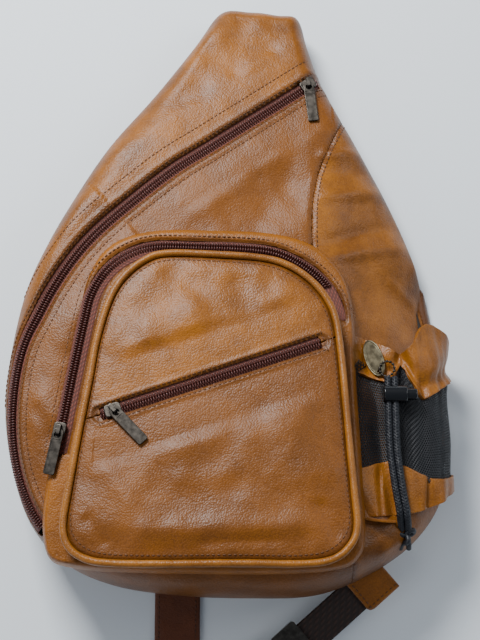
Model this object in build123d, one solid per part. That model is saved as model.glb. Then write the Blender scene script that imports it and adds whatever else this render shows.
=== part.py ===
from build123d import *
import math
import os

# Sling bag of leather, lying on its back. X runs across, Y towards its top end, Z up out of its front.
# The origin is on the resting plane, under the middle of the body.

# ---- driving dimensions (mm) ----
LEATHER = 2.4                # thickness of an outer leather panel
BACK_Z = 9.0                 # underside of the back panel: the back pads fill the height below it
FRONT_Z = 70.0               # height of the front face at Y = 0
FRONT_SLOPE = 0.10           # how much the front face falls per mm towards the top end
POCKET_Z = 94.0              # height of the pocket's face at Y = 0
POCKET_SLOPE = 0.155         # how much the pocket's face falls per mm towards the top end
RIDGE_X = 78.0               # the front face ends here and the side panel slopes away
SIDE_SLOPE = 0.85            # how much the side panel falls per mm to the right
CUT_DEPTH = 220.0            # taller than the whole bag, for vertical cuts
LEDGE = 8.0                  # height of the zipped lower gusset of the front pocket
COIL_WIDTH = 6.0             # closed zip coil, size 5
COIL_RISE = 0.2              # top of a coil above the leather beside it
TAPE = 1.1                   # thickness of zip tape
LINING = 0.8                 # thickness of the lining
PIPING_OUT = 2.0             # the piping stands this far out of the pocket's wall
PIPING_IN = 2.8              # and covers this much of the pocket's face
PIPING_HALF = 2.2            # half the height of the piping
SLIDER_LENGTH = 12.0
SLIDER_WIDTH = 9.2
SLIDER_PLATE = 1.8
SLIDER_GAP = 0.3             # running clearance between slider and coil
BRIDGE_OPENING = 3.4         # clear height under the slider's bridge
BRIDGE_BAR = 1.2
BRIDGE_HALF = 3.8
BRIDGE_WIDTH = 2.4
PULLER_LENGTH = 33.0
PULLER_WIDTH = 8.0
PULLER_THICK = 1.6
PULLER_HOLE = 2.5            # radius of the hole round the bridge
PULLER_RIM = 0.9             # width of the raised rim round the tab
PULLER_RECESS = 0.3          # depth of the field inside the rim
PULLER_EYE = 1.1             # from the hinge line to the edge of the hole
PULLER_TILT = 2.0            # degrees that a lying puller dips below the slider's plane
STRAP_WIDTH = 34.0
STRAP_THICK = 4.0
STRAP_Z = 0.3                # underside of the strap, which the bag lies over
MESH_RADIUS = 38.0
MESH_AXIS = (118.0, 0.0, 32.0)
MESH_RISE = 0.05             # the bottle pocket's axis climbs this much per mm towards the bottom
CORD_DIAMETER = 4.6
CORD_PITCH = 4.9             # distance between the two strands
LOCK_RADIUS = 6.2
LOCK_LENGTH = 17.0
LOCK_AT = 56.0               # distance of the cord lock along the bottle pocket's axis
LOCK_X = 108.0
TAG_AT = (98.0, -26.0)
TAG_TURN = -68.0             # degrees of the tag's long axis from X
TAG_LENGTH = 29.0
TAG_WIDTH = 13.6
TAG_THICK = 1.6
CHAIN_BEAD = 2.0
STRAP_X = -47.0              # middle of the strap where it leaves the bottom
FOLD_Y = -292.0              # middle of the fold
FOLD_TURN = 24.6             # degrees of the fold line from X
FOLD_RADIUS = 10.0
RING_AT = 46.0               # distance of the ring's first bar from the fold
RING_WIRE = 3.4
RING_INSIDE = 11.0
RING_WIDTH = 36.0
WEBBING_WIDTH = 25.0
WEBBING_THICK = 2.2
CORNER = (99.0, -172.0)      # where the webbing is sewn to the bag

# ---- planes of the sloping faces ----
FRONT = Plane(origin=(0, 0, FRONT_Z), x_dir=(1, 0, 0), z_dir=(0, FRONT_SLOPE, 1))
POCKET = Plane(origin=(0, 0, POCKET_Z), x_dir=(1, 0, 0), z_dir=(0, POCKET_SLOPE, 1))
SIDE = Plane(
    origin=(RIDGE_X, 0, FRONT_Z),
    x_dir=(1, 0, -SIDE_SLOPE),
    z_dir=(SIDE_SLOPE, FRONT_SLOPE, 1),
)
MESH_PLANE = Plane(origin=MESH_AXIS, x_dir=(1, 0, 0), z_dir=(0, -1, MESH_RISE))

# ---- zip lines in plan ----
MAIN_START = (60.0, 196.0)
MAIN_BEND = (-52.0, 120.0)
MAIN_SIDE = (-157.0, -50.0)
MAIN_END = (-138.0, -146.0)
MAIN_REST = 9.0              # distance of the closed main slider from the start of its line
POCKET_LINE = [(-129.0, -95.0), (-103.0, 59.0), (72.0, 53.0), (77.0, 4.0)]
POCKET_LINE_RADIUS = 46.0
POCKET_REST = 14.0
SLANT_START = (-96.0, -71.0)
SLANT_END = (57.0, -19.0)
SLANT_REST = 9.0

parts = {}


def slab(plane, low, high):
    """Everything between two heights over a sloping plane."""
    size = 900
    return plane.offset(low) * Box(size, size, high - low, align=(Align.CENTER, Align.CENTER, Align.MIN))


def layer(face, plane, low, high):
    """A plan shape as a sheet that lies between two heights over a sloping plane."""
    return extrude(face, CUT_DEPTH) & slab(plane, low, high)


def unit(start, end):
    """Direction in plan from one point to another."""
    return Vector(end[0] - start[0], end[1] - start[1], 0).normalized()


def height(plane, x, y):
    """Height of a sloping plane over a plan point."""
    normal = plane.z_dir
    base = plane.origin
    return base.Z - (normal.X * (x - base.X) + normal.Y * (y - base.Y)) / normal.Z


def body_outline():
    """Plan of the bag: a teardrop with a flat top end."""
    left = [
        Line((-16, 260), (-96, 146)),
        ThreePointArc((-96, 146), (-143, 64), (-165, -10)),
        ThreePointArc((-165, -10), (-168, -75), (-150, -135)),
        ThreePointArc((-150, -135), (-128, -168), (-90, -187)),
    ]
    bottom = [
        ThreePointArc((-90, -187), (0, -197), (70, -190)),
        ThreePointArc((70, -190), (118, -163), (145, -110)),
    ]
    right = [
        ThreePointArc((145, -110), (154, -50), (146, 10)),
        ThreePointArc((146, 10), (118, 92), (85, 155)),
        Line((85, 155), (48, 254)),
    ]
    return make_face([*left, *bottom, *right, Line((48, 254), (-16, 260))])


def pocket_outline():
    """Plan of the front pocket: a horseshoe with a wide round top."""
    face = make_face(Polyline((-92, 50), (64, 44), (80, -171), (-121, -171), close=True))
    upper = face.vertices().filter_by(lambda v: v.Y > 0)
    face = fillet(upper, 38)
    lower = face.vertices().filter_by(lambda v: v.Y < -150)
    return fillet(lower, 15)


def ledge_outline():
    """Plan of the pocket's zipped lower gusset."""
    face = make_face(Polyline((-112, 70), (84, 63), (90, -177), (-137, -177), close=True))
    upper = face.vertices().filter_by(lambda v: v.Y > 55)
    face = fillet(upper, 50)
    lower = face.vertices().filter_by(lambda v: v.Y < -150)
    return fillet(lower, 18)


def main_line():
    """Line of the main zip: straight, then round the left side in two arcs."""
    run = Line(MAIN_START, MAIN_BEND)
    shoulder = TangentArc(MAIN_BEND, MAIN_SIDE, tangent=run % 1)
    return [run, shoulder, TangentArc(MAIN_SIDE, MAIN_END, tangent=shoulder % 1)]


OUTLINE = body_outline()
POCKET_PLAN = pocket_outline()
LEDGE_PLAN = ledge_outline()
MAIN_LINE = main_line()
POCKET_ZIP_LINE = FilletPolyline(*POCKET_LINE, radius=POCKET_LINE_RADIUS)


def body_block(inset):
    """The whole bag body as one block, shrunk by an inset on every side."""
    plan = OUTLINE if inset == 0 else offset(OUTLINE, -inset)
    block = Pos(0, 0, BACK_Z + LEATHER) * extrude(plan, CUT_DEPTH)
    return block & slab(FRONT, -300, -inset) & slab(SIDE, -300, -inset)


OUTER = body_block(0)
INNER = body_block(LEATHER)


def upper_side_of_main_zip():
    """Everything above and to the left of the main zip line, as a block."""
    start_out = Vector(*MAIN_START) + unit(MAIN_BEND, MAIN_START) * 80
    end_out = Vector(*MAIN_END) + (MAIN_LINE[2] % 1) * 60
    far = Polyline(
        Vector(*MAIN_END), end_out, (end_out.X, -400), (-400, -400), (-400, 400), (start_out.X, 400),
        start_out, Vector(*MAIN_START),
    )
    return extrude(make_face([*MAIN_LINE, far]), CUT_DEPTH)


def make_body_panels():
    """Back, front, side and gusset panels of the main compartment."""
    parts["back_panel"] = Pos(0, 0, BACK_Z) * extrude(OUTLINE, LEATHER)
    shell = OUTER - INNER
    front = shell & slab(FRONT, -LEATHER, 0)
    rest = shell - slab(FRONT, -LEATHER, 0)
    parts["side_panel_right"] = rest & slab(SIDE, -LEATHER, 0)
    walls = rest - slab(SIDE, -LEATHER, 0)
    bottom_box = Pos(0, -280, 100) * Box(210, 250, 300)
    right_box = Pos(240, 0, 100) * Box(400, 900, 300)
    parts["gusset_bottom"] = walls & bottom_box
    parts["gusset_right"] = (walls - bottom_box) & right_box
    parts["gusset_left"] = (walls - bottom_box) - right_box
    slot = extrude(trace(MAIN_LINE, line_width=15), CUT_DEPTH)
    above = upper_side_of_main_zip()
    parts["upper_front_panel"] = ((front & above) - slot).solids().sort_by(SortBy.VOLUME)[-1]
    parts["main_front_panel"] = (front - above) - slot
    lining_gap = LEATHER + TAPE + 0.1
    core = Pos(0, 0, LINING) * body_block(lining_gap + LINING) & slab(FRONT, -300, -lining_gap - LINING)
    parts["lining"] = body_block(lining_gap) - (core & slab(SIDE, -300, -lining_gap - LINING))


def make_back_pads():
    """Two padded areas on the back, with a channel between them for the strap."""
    pad = extrude(offset(OUTLINE, -7), BACK_Z)
    channel = make_face(Polyline((-24, 300), (56, 300), (26, 150), (-20, 40), (-20, -260), (-74, -260),
                                 (-74, 40), (-56, 150), close=True))
    pads = (pad - extrude(channel, CUT_DEPTH)).solids().sort_by(Axis.X)
    parts["back_pad_left"] = pads[0]
    parts["back_pad_right"] = pads[-1]
    print("pads", len(pads))


def zip_tape(line, width, plane, top, keep):
    """Two strips of tape with a slit between them, under a coil."""
    strips = layer(trace(line, line_width=width), plane, top - TAPE, top) & keep
    return strips - extrude(trace(line, line_width=1.0), CUT_DEPTH)


def make_main_zip():
    """Tape and coil of the long zip over the main compartment."""
    parts["main_zip_tape"] = zip_tape(MAIN_LINE, 28, FRONT, -LEATHER, INNER)
    coil = trace(MAIN_LINE, line_width=COIL_WIDTH)
    parts["main_zip_coil"] = layer(coil, FRONT, -LEATHER, COIL_RISE)


def make_pocket():
    """The front pocket: lower gusset with its zip, upper gusset, piping, lining and face."""
    band = 2.2
    hollow = extrude(offset(LEDGE_PLAN, -band), CUT_DEPTH) & slab(FRONT, -300, LEDGE - band)
    ledge = extrude(LEDGE_PLAN, CUT_DEPTH) & slab(FRONT, -300, LEDGE)
    ledge = ledge - hollow - extrude(offset(POCKET_PLAN, -4.4), CUT_DEPTH)
    ledge = ledge - extrude(trace(POCKET_ZIP_LINE, line_width=13), CUT_DEPTH) - OUTER
    above_back = Pos(0, 0, 40) * Box(900, 900, 400, align=(Align.CENTER, Align.CENTER, Align.MIN))
    outside = slab(SIDE, 0, 300) + slab(FRONT, 0, 300)
    parts["pocket_zip_gusset"] = ledge & above_back & outside
    tape_top = LEDGE - band
    inside = extrude(offset(LEDGE_PLAN, -band - 0.1), CUT_DEPTH) - OUTER
    parts["pocket_zip_tape"] = zip_tape(POCKET_ZIP_LINE, 17, FRONT, tape_top, inside)
    coil = trace(POCKET_ZIP_LINE, line_width=COIL_WIDTH)
    parts["pocket_zip_coil"] = layer(coil, FRONT, tape_top, LEDGE + COIL_RISE)
    wall = POCKET_PLAN - offset(POCKET_PLAN, -band)
    wall_block = extrude(wall, CUT_DEPTH) & slab(FRONT, LEDGE, 300)
    parts["pocket_gusset"] = wall_block & slab(POCKET, -300, -PIPING_HALF)
    ring = offset(POCKET_PLAN, PIPING_OUT) - offset(POCKET_PLAN, -PIPING_IN)
    parts["pocket_piping"] = layer(ring, POCKET, -PIPING_HALF, PIPING_HALF)
    room = extrude(offset(POCKET_PLAN, -5.0), CUT_DEPTH) & slab(FRONT, 0.6, 300) & slab(POCKET, -300, -5.0)
    inner_room = extrude(offset(POCKET_PLAN, -5.8), CUT_DEPTH) & slab(FRONT, 1.4, 300)
    parts["pocket_lining"] = room - (inner_room & slab(POCKET, -300, -5.8))


def make_pocket_face():
    """Face of the front pocket in two pieces, with the slanting zip between them."""
    run = Line(SLANT_START, SLANT_END)
    along = unit(SLANT_START, SLANT_END)
    left = Vector(*SLANT_START) - along * 150
    right = Vector(*SLANT_END) + along * 150
    above = make_face(Polyline(left, right, (right.X, 300), (left.X, 300), close=True))
    face = layer(offset(POCKET_PLAN, -PIPING_IN), POCKET, -2.0, 0)
    slot = extrude(trace(run, line_width=11), CUT_DEPTH)
    parts["pocket_face_upper"] = (face & extrude(above, CUT_DEPTH)) - slot
    parts["pocket_face_lower"] = (face - extrude(above, CUT_DEPTH)) - slot
    everything = extrude(offset(POCKET_PLAN, -PIPING_IN), CUT_DEPTH)
    parts["slant_zip_tape"] = zip_tape(run, 22, POCKET, -2.0, everything)
    parts["slant_zip_coil"] = layer(trace(run, line_width=COIL_WIDTH), POCKET, -2.0, 0.4)


def slider_frame(plane, point, top):
    """Frame on the coil's top at a slider: Z square to the face, X across the bag."""
    base = Vector(point.X, point.Y, height(plane, point.X, point.Y)) + plane.z_dir * top
    return Plane(origin=base, x_dir=(1, 0, 0), z_dir=plane.z_dir)


def along_slope(direction, plane):
    """A plan direction laid on a sloping plane, as a unit vector."""
    fall = (plane.z_dir.X * direction.X + plane.z_dir.Y * direction.Y) / plane.z_dir.Z
    return Vector(direction.X, direction.Y, -fall).normalized()


def angle_in(frame, direction):
    """Angle of a plan direction from a frame's X, measured on the frame's own sloping plane, in degrees."""
    laid = along_slope(direction, frame)
    return math.degrees(math.atan2(laid.dot(frame.y_dir), laid.dot(frame.x_dir)))


def slider(frame, along, pull):
    """A zip slider: top plate with flanges beside the coil, and a bridge in line with its puller."""
    turned = frame * Rot(0, 0, angle_in(frame, along))
    plate = Pos(0, 0, SLIDER_GAP + SLIDER_PLATE / 2) * Box(SLIDER_LENGTH, SLIDER_WIDTH, SLIDER_PLATE)
    plate = fillet(plate.edges().filter_by(Axis.Z), 2.6)
    plate = fillet(plate.faces().sort_by(Axis.Z)[-1].edges(), 0.7)
    flange_height = 1.5
    flange = Box(SLIDER_LENGTH - 5.4, 1.0, flange_height)
    drop = SLIDER_GAP - flange_height / 2 + 0.2
    side = SLIDER_WIDTH / 2 - 0.5
    plate = plate + Pos(0, side, drop) * flange + Pos(0, -side, drop) * flange
    top = SLIDER_GAP + SLIDER_PLATE
    rise = BRIDGE_OPENING + BRIDGE_BAR
    bridge = Pos(0, 0, top + rise / 2) * Box(2 * BRIDGE_HALF, BRIDGE_WIDTH, rise)
    bridge = fillet(bridge.faces().sort_by(Axis.Z)[-1].edges().filter_by(Axis.Y), 1.0)
    opening = 2 * BRIDGE_HALF - 3.2
    window = Pos(0, 0, top + BRIDGE_OPENING / 2) * Box(opening, 10, BRIDGE_OPENING)
    bridge = frame * Rot(0, 0, angle_in(frame, pull)) * (bridge - window)
    return turned * plate + bridge


def puller(frame, pull):
    """A flat tab with a rounded end and a hole that rides on the slider's bridge."""
    end = PULLER_LENGTH - PULLER_EYE
    middle = (end - PULLER_EYE) / 2
    tab = extrude(Pos(middle, 0) * Rectangle(PULLER_LENGTH, PULLER_WIDTH), PULLER_THICK / 2, both=True)
    near = tab.edges().filter_by(Axis.Z).sort_by(Axis.X)[0:2]
    tab = fillet(near, 3.6)
    far = tab.edges().filter_by(Axis.Z).sort_by(Axis.X)[-2:]
    tab = fillet(far, 1.5)
    tab = fillet(tab.faces().sort_by(Axis.Z)[-1].edges(), 0.4)
    field_start = PULLER_EYE + 2 * PULLER_HOLE + PULLER_RIM
    field_end = PULLER_LENGTH - PULLER_EYE - 2 * PULLER_RIM
    field = Box(field_end - field_start, PULLER_WIDTH - 2 * PULLER_RIM, 2 * PULLER_RECESS)
    field = fillet(field.edges().filter_by(Axis.Z), 0.9)
    tab = tab - Pos((field_start + field_end) / 2, 0, PULLER_THICK / 2) * field
    tab = tab - Pos(PULLER_EYE + PULLER_HOLE, 0, 0) * Cylinder(PULLER_HOLE, 10)
    axis_height = SLIDER_GAP + SLIDER_PLATE + BRIDGE_OPENING / 2
    return frame * Rot(0, 0, angle_in(frame, pull)) * Pos(0, 0, axis_height) * Rot(0, PULLER_TILT, 0) * tab


def make_sliders():
    """The three sliders and their pullers."""
    along = unit(MAIN_START, MAIN_BEND)
    pocket_along = unit(POCKET_LINE[0], POCKET_LINE[1])
    slant_along = unit(SLANT_START, SLANT_END)
    main_at = Vector(*MAIN_START) + along * MAIN_REST
    pocket_at = Vector(*POCKET_LINE[0]) + pocket_along * POCKET_REST
    slant_at = Vector(*SLANT_START) + slant_along * SLANT_REST
    rows = [
        ("main", FRONT, main_at, COIL_RISE, along, Vector(0.12, -0.99)),
        ("pocket", FRONT, pocket_at, LEDGE + COIL_RISE, pocket_along, Vector(-0.19, -0.98)),
        ("slant", POCKET, slant_at, 0.4, slant_along, Vector(0.70, -0.71)),
    ]
    for name, plane, point, top, line, pull in rows:
        frame = slider_frame(plane, point, top)
        parts[f"{name}_zip_slider"] = slider(frame, line, pull)
        parts[f"{name}_zip_puller"] = puller(frame, pull)
        axis_height = SLIDER_GAP + SLIDER_PLATE + BRIDGE_OPENING / 2
        pivot = frame.origin + frame.z_dir * axis_height
        hinge = along_slope(pull, frame).cross(frame.z_dir)
        run = along_slope(line, plane)
        print(name, "pivot", [round(v, 2) for v in pivot], "hinge", [round(v, 4) for v in hinge],
              "run", [round(v, 4) for v in run])


def outside_body(piece):
    """What is left of a piece outside the bag's sloping faces and above its back panel."""
    above = Pos(0, 0, BACK_Z + LEATHER + 0.6) * Box(900, 900, 400, align=(Align.CENTER, Align.CENTER, Align.MIN))
    return (piece - (slab(SIDE, -300, 0) & slab(FRONT, -300, 0))) & above


def ring_piece(outer, inner, start, end):
    """A length of the bottle pocket's round wall, kept outside the side panel."""
    wall = Circle(outer) - Circle(inner)
    return outside_body(MESH_PLANE.offset(start) * extrude(wall, end - start))


def make_bottle_pocket():
    """Bottle pocket on the side: gathered cuff, mesh, leather pouch with its floor."""
    clear = extrude(offset(LEDGE_PLAN, 0.5), CUT_DEPTH)
    parts["bottle_pocket_cuff"] = ring_piece(MESH_RADIUS, MESH_RADIUS - 3.2, 8, 42) - clear
    parts["bottle_pocket_mesh"] = ring_piece(MESH_RADIUS - 0.6, MESH_RADIUS - 2.4, 42, 106) - clear
    pouch = ring_piece(MESH_RADIUS, MESH_RADIUS - LEATHER, 106, 139)
    floor = MESH_PLANE.offset(136.6) * extrude(Circle(MESH_RADIUS - LEATHER), LEATHER)
    pouch = pouch + outside_body(floor)
    parts["bottle_pocket_pouch"] = pouch - clear


def lock_frame():
    """Frame of the cord lock: X along its barrel, Z out of the bag, on the top line of the bottle pocket."""
    top = MESH_PLANE.origin + Vector(0, MESH_RISE, 1).normalized() * (MESH_RADIUS + LOCK_RADIUS + 0.5)
    along = MESH_PLANE.z_dir
    origin = top + along * LOCK_AT
    return Plane(origin=(LOCK_X, origin.Y, origin.Z), x_dir=(1, 0, 0), z_dir=(0, MESH_RISE, 1))


def make_cord_lock():
    """Barrel cord lock with a spring button; its slot lets the two strands through."""
    frame = lock_frame()
    barrel = Rot(0, 90, 0) * Cylinder(LOCK_RADIUS, LOCK_LENGTH)
    barrel = fillet(barrel.edges().filter_by(GeomType.CIRCLE), 1.2)
    barrel = Pos(2.5, 0, 0) * barrel
    slot = Box(2 * CORD_PITCH + 1.2, 40, CORD_DIAMETER + 0.8)
    face_x = 2.5 + LOCK_LENGTH / 2
    bore = Pos(face_x, 0, 0) * Rot(0, 90, 0) * Cylinder(4.2, 8.8)
    parts["cord_lock_barrel"] = frame * (barrel - slot - bore)
    button = Rot(0, 90, 0) * Cylinder(4.15, 8.4)
    button = fillet(button.edges().filter_by(GeomType.CIRCLE).sort_by(Axis.X)[-1], 1.2)
    parts["cord_lock_button"] = frame * Pos(face_x + 3.0, 0, 0) * button
    print("lock centre", [round(v, 2) for v in frame.origin])


def strand_route(side):
    """Points of one strand of the drawcord, from the cuff to the knot."""
    x = LOCK_X + side * CORD_PITCH / 2
    frame = lock_frame()
    start = frame.origin - MESH_PLANE.z_dir * 12.5
    end = frame.origin + MESH_PLANE.z_dir * 40
    return [
        (x, start.Y, start.Z),
        (x, end.Y, end.Z),
        (x + 3.0, end.Y - 26, end.Z + 1.5),
        (x + 6.0, end.Y - 43, end.Z + 0.3),
        (x + 8.0, end.Y - 55, end.Z - 9.3),
    ]


def make_drawcord():
    """Two strands of braided cord that leave the cuff, pass the lock and end in one knot."""
    for name, side in [("left", -1), ("right", 1)]:
        points = strand_route(side)
        radii = []
        for a, b, c in zip(points, points[1:], points[2:]):
            run_in = Vector(*b) - Vector(*a)
            run_out = Vector(*c) - Vector(*b)
            turn = math.radians(run_in.get_angle(run_out))
            radii.append(0.45 * min(run_in.length, run_out.length) / math.tan(turn / 2))
        path = FilletPolyline(*points, radius=radii)
        start = Plane(origin=path @ 0, z_dir=path % 0)
        strand = sweep(start * Circle(CORD_DIAMETER / 2), path=path)
        parts[f"drawcord_{name}"] = strand
        section = math.pi * CORD_DIAMETER ** 2 / 4
        print(name, "route", [tuple(round(v, 2) for v in p) for p in points])
        print(name, "radii", [round(r, 1) for r in radii], "length", round(path.length, 1),
              "volume ratio", round(strand.volume / (section * path.length), 4))
    end_left = Vector(*strand_route(-1)[-1])
    end_right = Vector(*strand_route(1)[-1])
    last = (end_left - Vector(*strand_route(-1)[-2])).normalized()
    middle = (end_left + end_right) / 2 + last * 4.6
    knot = Plane(origin=middle, x_dir=(1, 0, 0), z_dir=last) * Box(12, 8, 9.2)
    parts["drawcord_knot"] = fillet(knot.edges(), 2.5)
    print("knot", [round(v, 2) for v in middle])


def make_tag():
    """Oval metal tag that lies on the cuff, on a short loop of bead chain."""
    x, y = TAG_AT
    across = x - MESH_AXIS[0]
    rise = math.sqrt(MESH_RADIUS ** 2 - across ** 2)
    lean = math.degrees(math.atan2(across, rise))
    frame = Pos(x, y, MESH_AXIS[2] - y * MESH_RISE + rise + 1.8) * Rot(0, lean, 0) * Rot(0, 0, TAG_TURN)
    plate = extrude(Ellipse(TAG_LENGTH / 2, TAG_WIDTH / 2), TAG_THICK)
    plate = fillet(plate.edges().filter_by(lambda e: e.center().Z > TAG_THICK / 2), 0.5)
    hole_at = TAG_LENGTH / 2 - 3.6
    parts["oval_tag"] = frame * (plate - Pos(hole_at, 0, 0) * Cylinder(1.7, 10))
    hole = (frame * Pos(hole_at, 0, TAG_THICK / 2)).position
    chain_at = hole + Vector(4.8, 1.6, 3.4)
    parts["tag_chain"] = Plane(origin=chain_at, z_dir=(-0.35, 0, 0.94)) * Torus(5.4, CHAIN_BEAD / 2)
    print("tag hole", [round(v, 2) for v in hole], "chain", [round(v, 2) for v in chain_at])


def strap_slab(frame, start, end, width, thick, low=0.0):
    """A straight length of strap in its own frame: X along it, Z up from its underside."""
    middle = (start + end) / 2
    return frame * Pos(middle, 0, low + thick / 2) * Box(end - start, width, thick)


def make_strap():
    """Shoulder strap: sewn to the top end, under the bag, out past the bottom and folded back to its corner."""
    left = STRAP_X - STRAP_WIDTH / 2
    right = STRAP_X + STRAP_WIDTH / 2
    slope = math.tan(math.radians(FOLD_TURN))
    fold_left = FOLD_Y + STRAP_WIDTH / 2 * slope
    fold_right = FOLD_Y - STRAP_WIDTH / 2 * slope
    plan = make_face(Polyline(
        (-13, 262), (45, 257), (16, 150), (right + 2, 40), (right, -120), (right, fold_right),
        (left, fold_left), (left, 40), (-46, 150), close=True,
    ))
    parts["shoulder_strap"] = Pos(0, 0, STRAP_Z) * extrude(plan, STRAP_THICK)
    anchor = make_face(Polyline((-11, 261), (43, 256), (38, 232), (-14, 236), close=True))
    anchor_z = STRAP_Z + STRAP_THICK
    parts["strap_anchor_top"] = Pos(0, 0, anchor_z) * extrude(anchor, BACK_Z - anchor_z)
    along = Vector(math.cos(math.radians(FOLD_TURN)), -math.sin(math.radians(FOLD_TURN)), 0)
    out = Vector(-math.sin(math.radians(FOLD_TURN)), -math.cos(math.radians(FOLD_TURN)), 0)
    centre_z = STRAP_Z + STRAP_THICK / 2 + FOLD_RADIUS
    half = STRAP_THICK / 2
    shift = math.pi * FOLD_RADIUS * slope
    length = STRAP_WIDTH / math.cos(math.radians(FOLD_TURN))
    start = Vector(STRAP_X, FOLD_Y, centre_z)
    profile = Circle(FOLD_RADIUS + half) - Circle(FOLD_RADIUS - half)
    profile = profile & Pos(30, 0) * Rectangle(60, 60)
    fold_plane = Plane(origin=start - along * (length / 2), x_dir=out, z_dir=along)
    back = Vector(math.sin(math.radians(2 * FOLD_TURN)), math.cos(math.radians(2 * FOLD_TURN)), 0)
    parts["strap_fold"] = fold_plane * extrude(profile, length + shift)
    top = start + along * shift + Vector(0, 0, FOLD_RADIUS - half)
    frame = Plane(origin=top, x_dir=back, z_dir=(0, 0, 1))
    lean_cut = Plane(origin=top, x_dir=along, z_dir=-out)
    end_piece = strap_slab(frame, -30, RING_AT, STRAP_WIDTH, STRAP_THICK)
    end_piece = end_piece & (lean_cut * Box(600, 600, 600, align=(Align.CENTER, Align.CENTER, Align.MIN)))
    bar = RING_WIRE / 2
    ring_z = STRAP_THICK / 2
    ring_half = (RING_INSIDE / 2 + bar, RING_WIDTH / 2 + bar)
    ring_path = Rectangle(2 * ring_half[0], 2 * ring_half[1])
    ring_path = fillet(ring_path.vertices(), 4.0)
    wire = ring_path.wire()
    rim = sweep(Plane(origin=wire @ 0, z_dir=wire % 0) * Circle(bar), path=wire)
    ring = frame * Pos(RING_AT + ring_half[0] - bar - 0.5, 0, ring_z) * rim
    loop = strap_slab(frame, RING_AT - 10, RING_AT + 4.0, RING_WIDTH - 2.4, 7.2, -1.6)
    parts["strap_end"] = (end_piece + loop) - ring
    parts["strap_ring"] = ring
    far_bar = RING_AT + 2 * ring_half[0] - bar - 0.5
    reach = (Vector(*CORNER) - Vector(top.X, top.Y)).dot(back)
    webbing = strap_slab(frame, far_bar, reach, WEBBING_WIDTH, WEBBING_THICK, ring_z - WEBBING_THICK / 2)
    fold_over = strap_slab(frame, far_bar - 4.0, far_bar + 12, WEBBING_WIDTH, 6.4, ring_z - 3.2)
    body = OUTER + Pos(0, 0, BACK_Z) * extrude(OUTLINE, LEATHER) + extrude(offset(OUTLINE, -7), BACK_Z)
    parts["strap_webbing"] = (webbing + fold_over) - ring - body
    tab = strap_slab(frame, reach - 26, reach + 20, WEBBING_WIDTH + 8, 7.0, ring_z - 3.5)
    tab = fillet(tab.edges().filter_by(Axis.Z), 4)
    parts["strap_corner_tab"] = (tab - webbing) - body
    sleeve_at = far_bar + 30
    sleeve = strap_slab(frame, sleeve_at, sleeve_at + 22, WEBBING_WIDTH + 9, 6.0, ring_z - 3.0)
    sleeve = fillet(sleeve.edges().filter_by(Axis.Z), 2.5)
    window = strap_slab(frame, sleeve_at - 1, sleeve_at + 23, WEBBING_WIDTH + 0.8, WEBBING_THICK + 0.8,
                        ring_z - WEBBING_THICK / 2 - 0.4)
    parts["strap_adjuster"] = sleeve - window
    print("strap back", [round(v, 4) for v in back], "reach", round(reach, 1), "top", [round(v, 2) for v in top],
          "far bar", round(far_bar, 1), "sleeve", round(sleeve_at, 1))


make_body_panels()
make_back_pads()
make_main_zip()
make_pocket()
make_pocket_face()
make_sliders()
make_bottle_pocket()
make_cord_lock()
make_drawcord()
make_tag()
make_strap()

os.makedirs("parts", exist_ok=True)
for node, shape in parts.items():
    export_step(shape, f"parts/{node}.step")
print(len(parts), "nodes")
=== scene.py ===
import math

import bmesh
import bpy
import numpy as np
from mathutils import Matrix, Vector, noise


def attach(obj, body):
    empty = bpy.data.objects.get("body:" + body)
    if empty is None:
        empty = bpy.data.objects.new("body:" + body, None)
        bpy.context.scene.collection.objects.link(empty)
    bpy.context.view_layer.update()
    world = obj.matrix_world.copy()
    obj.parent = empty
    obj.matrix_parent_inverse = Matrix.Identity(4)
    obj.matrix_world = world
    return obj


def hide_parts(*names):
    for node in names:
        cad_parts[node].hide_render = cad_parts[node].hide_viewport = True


bl_info = {
    "name": "Leather sling bag",
    "version": (1, 0, 0),
    "blender": (4, 5, 0),
    "location": "3D View > Sidebar > Sling Bag",
    "description": "Builds a leather sling bag around its packed CAD frame",
    "category": "Add Mesh",
}

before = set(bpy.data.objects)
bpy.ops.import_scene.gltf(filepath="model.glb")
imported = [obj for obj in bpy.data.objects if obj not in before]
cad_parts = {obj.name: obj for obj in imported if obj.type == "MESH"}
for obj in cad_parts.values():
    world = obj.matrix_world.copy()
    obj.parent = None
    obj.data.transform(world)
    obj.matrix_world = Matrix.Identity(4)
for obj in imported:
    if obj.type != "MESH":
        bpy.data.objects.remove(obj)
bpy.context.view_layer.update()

MM = 0.001


# ---------------------------------------------------------------- settings

class SlingBagSizes(bpy.types.PropertyGroup):
    """Sizes that a maker would change, in metres."""
    tooth_pitch: bpy.props.FloatProperty(
        name="Tooth pitch", description="Distance between zip teeth, a little coarse so that it shows",
        default=0.0019, unit="LENGTH")
    stitch_pitch: bpy.props.FloatProperty(
        name="Stitch pitch", description="Distance between stitches of the topstitching",
        default=0.0036, unit="LENGTH")
    stitch_length: bpy.props.FloatProperty(
        name="Stitch length", description="Visible length of one stitch", default=0.0027, unit="LENGTH")
    leather_thickness: bpy.props.FloatProperty(
        name="Leather thickness", description="Thickness of a cut panel", default=0.0018, unit="LENGTH")
    piping_radius: bpy.props.FloatProperty(
        name="Piping radius", description="Radius of the leather piping", default=0.0025, unit="LENGTH")
    net_columns: bpy.props.IntProperty(
        name="Net columns", description="Cells of the net round the bottle pocket", default=70)
    net_rows: bpy.props.IntProperty(
        name="Net rows", description="Cells of the net down the pocket", default=40)
    bead: bpy.props.FloatProperty(
        name="Chain bead", description="Diameter of a bead of the tag's chain", default=0.0022, unit="LENGTH")


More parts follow.
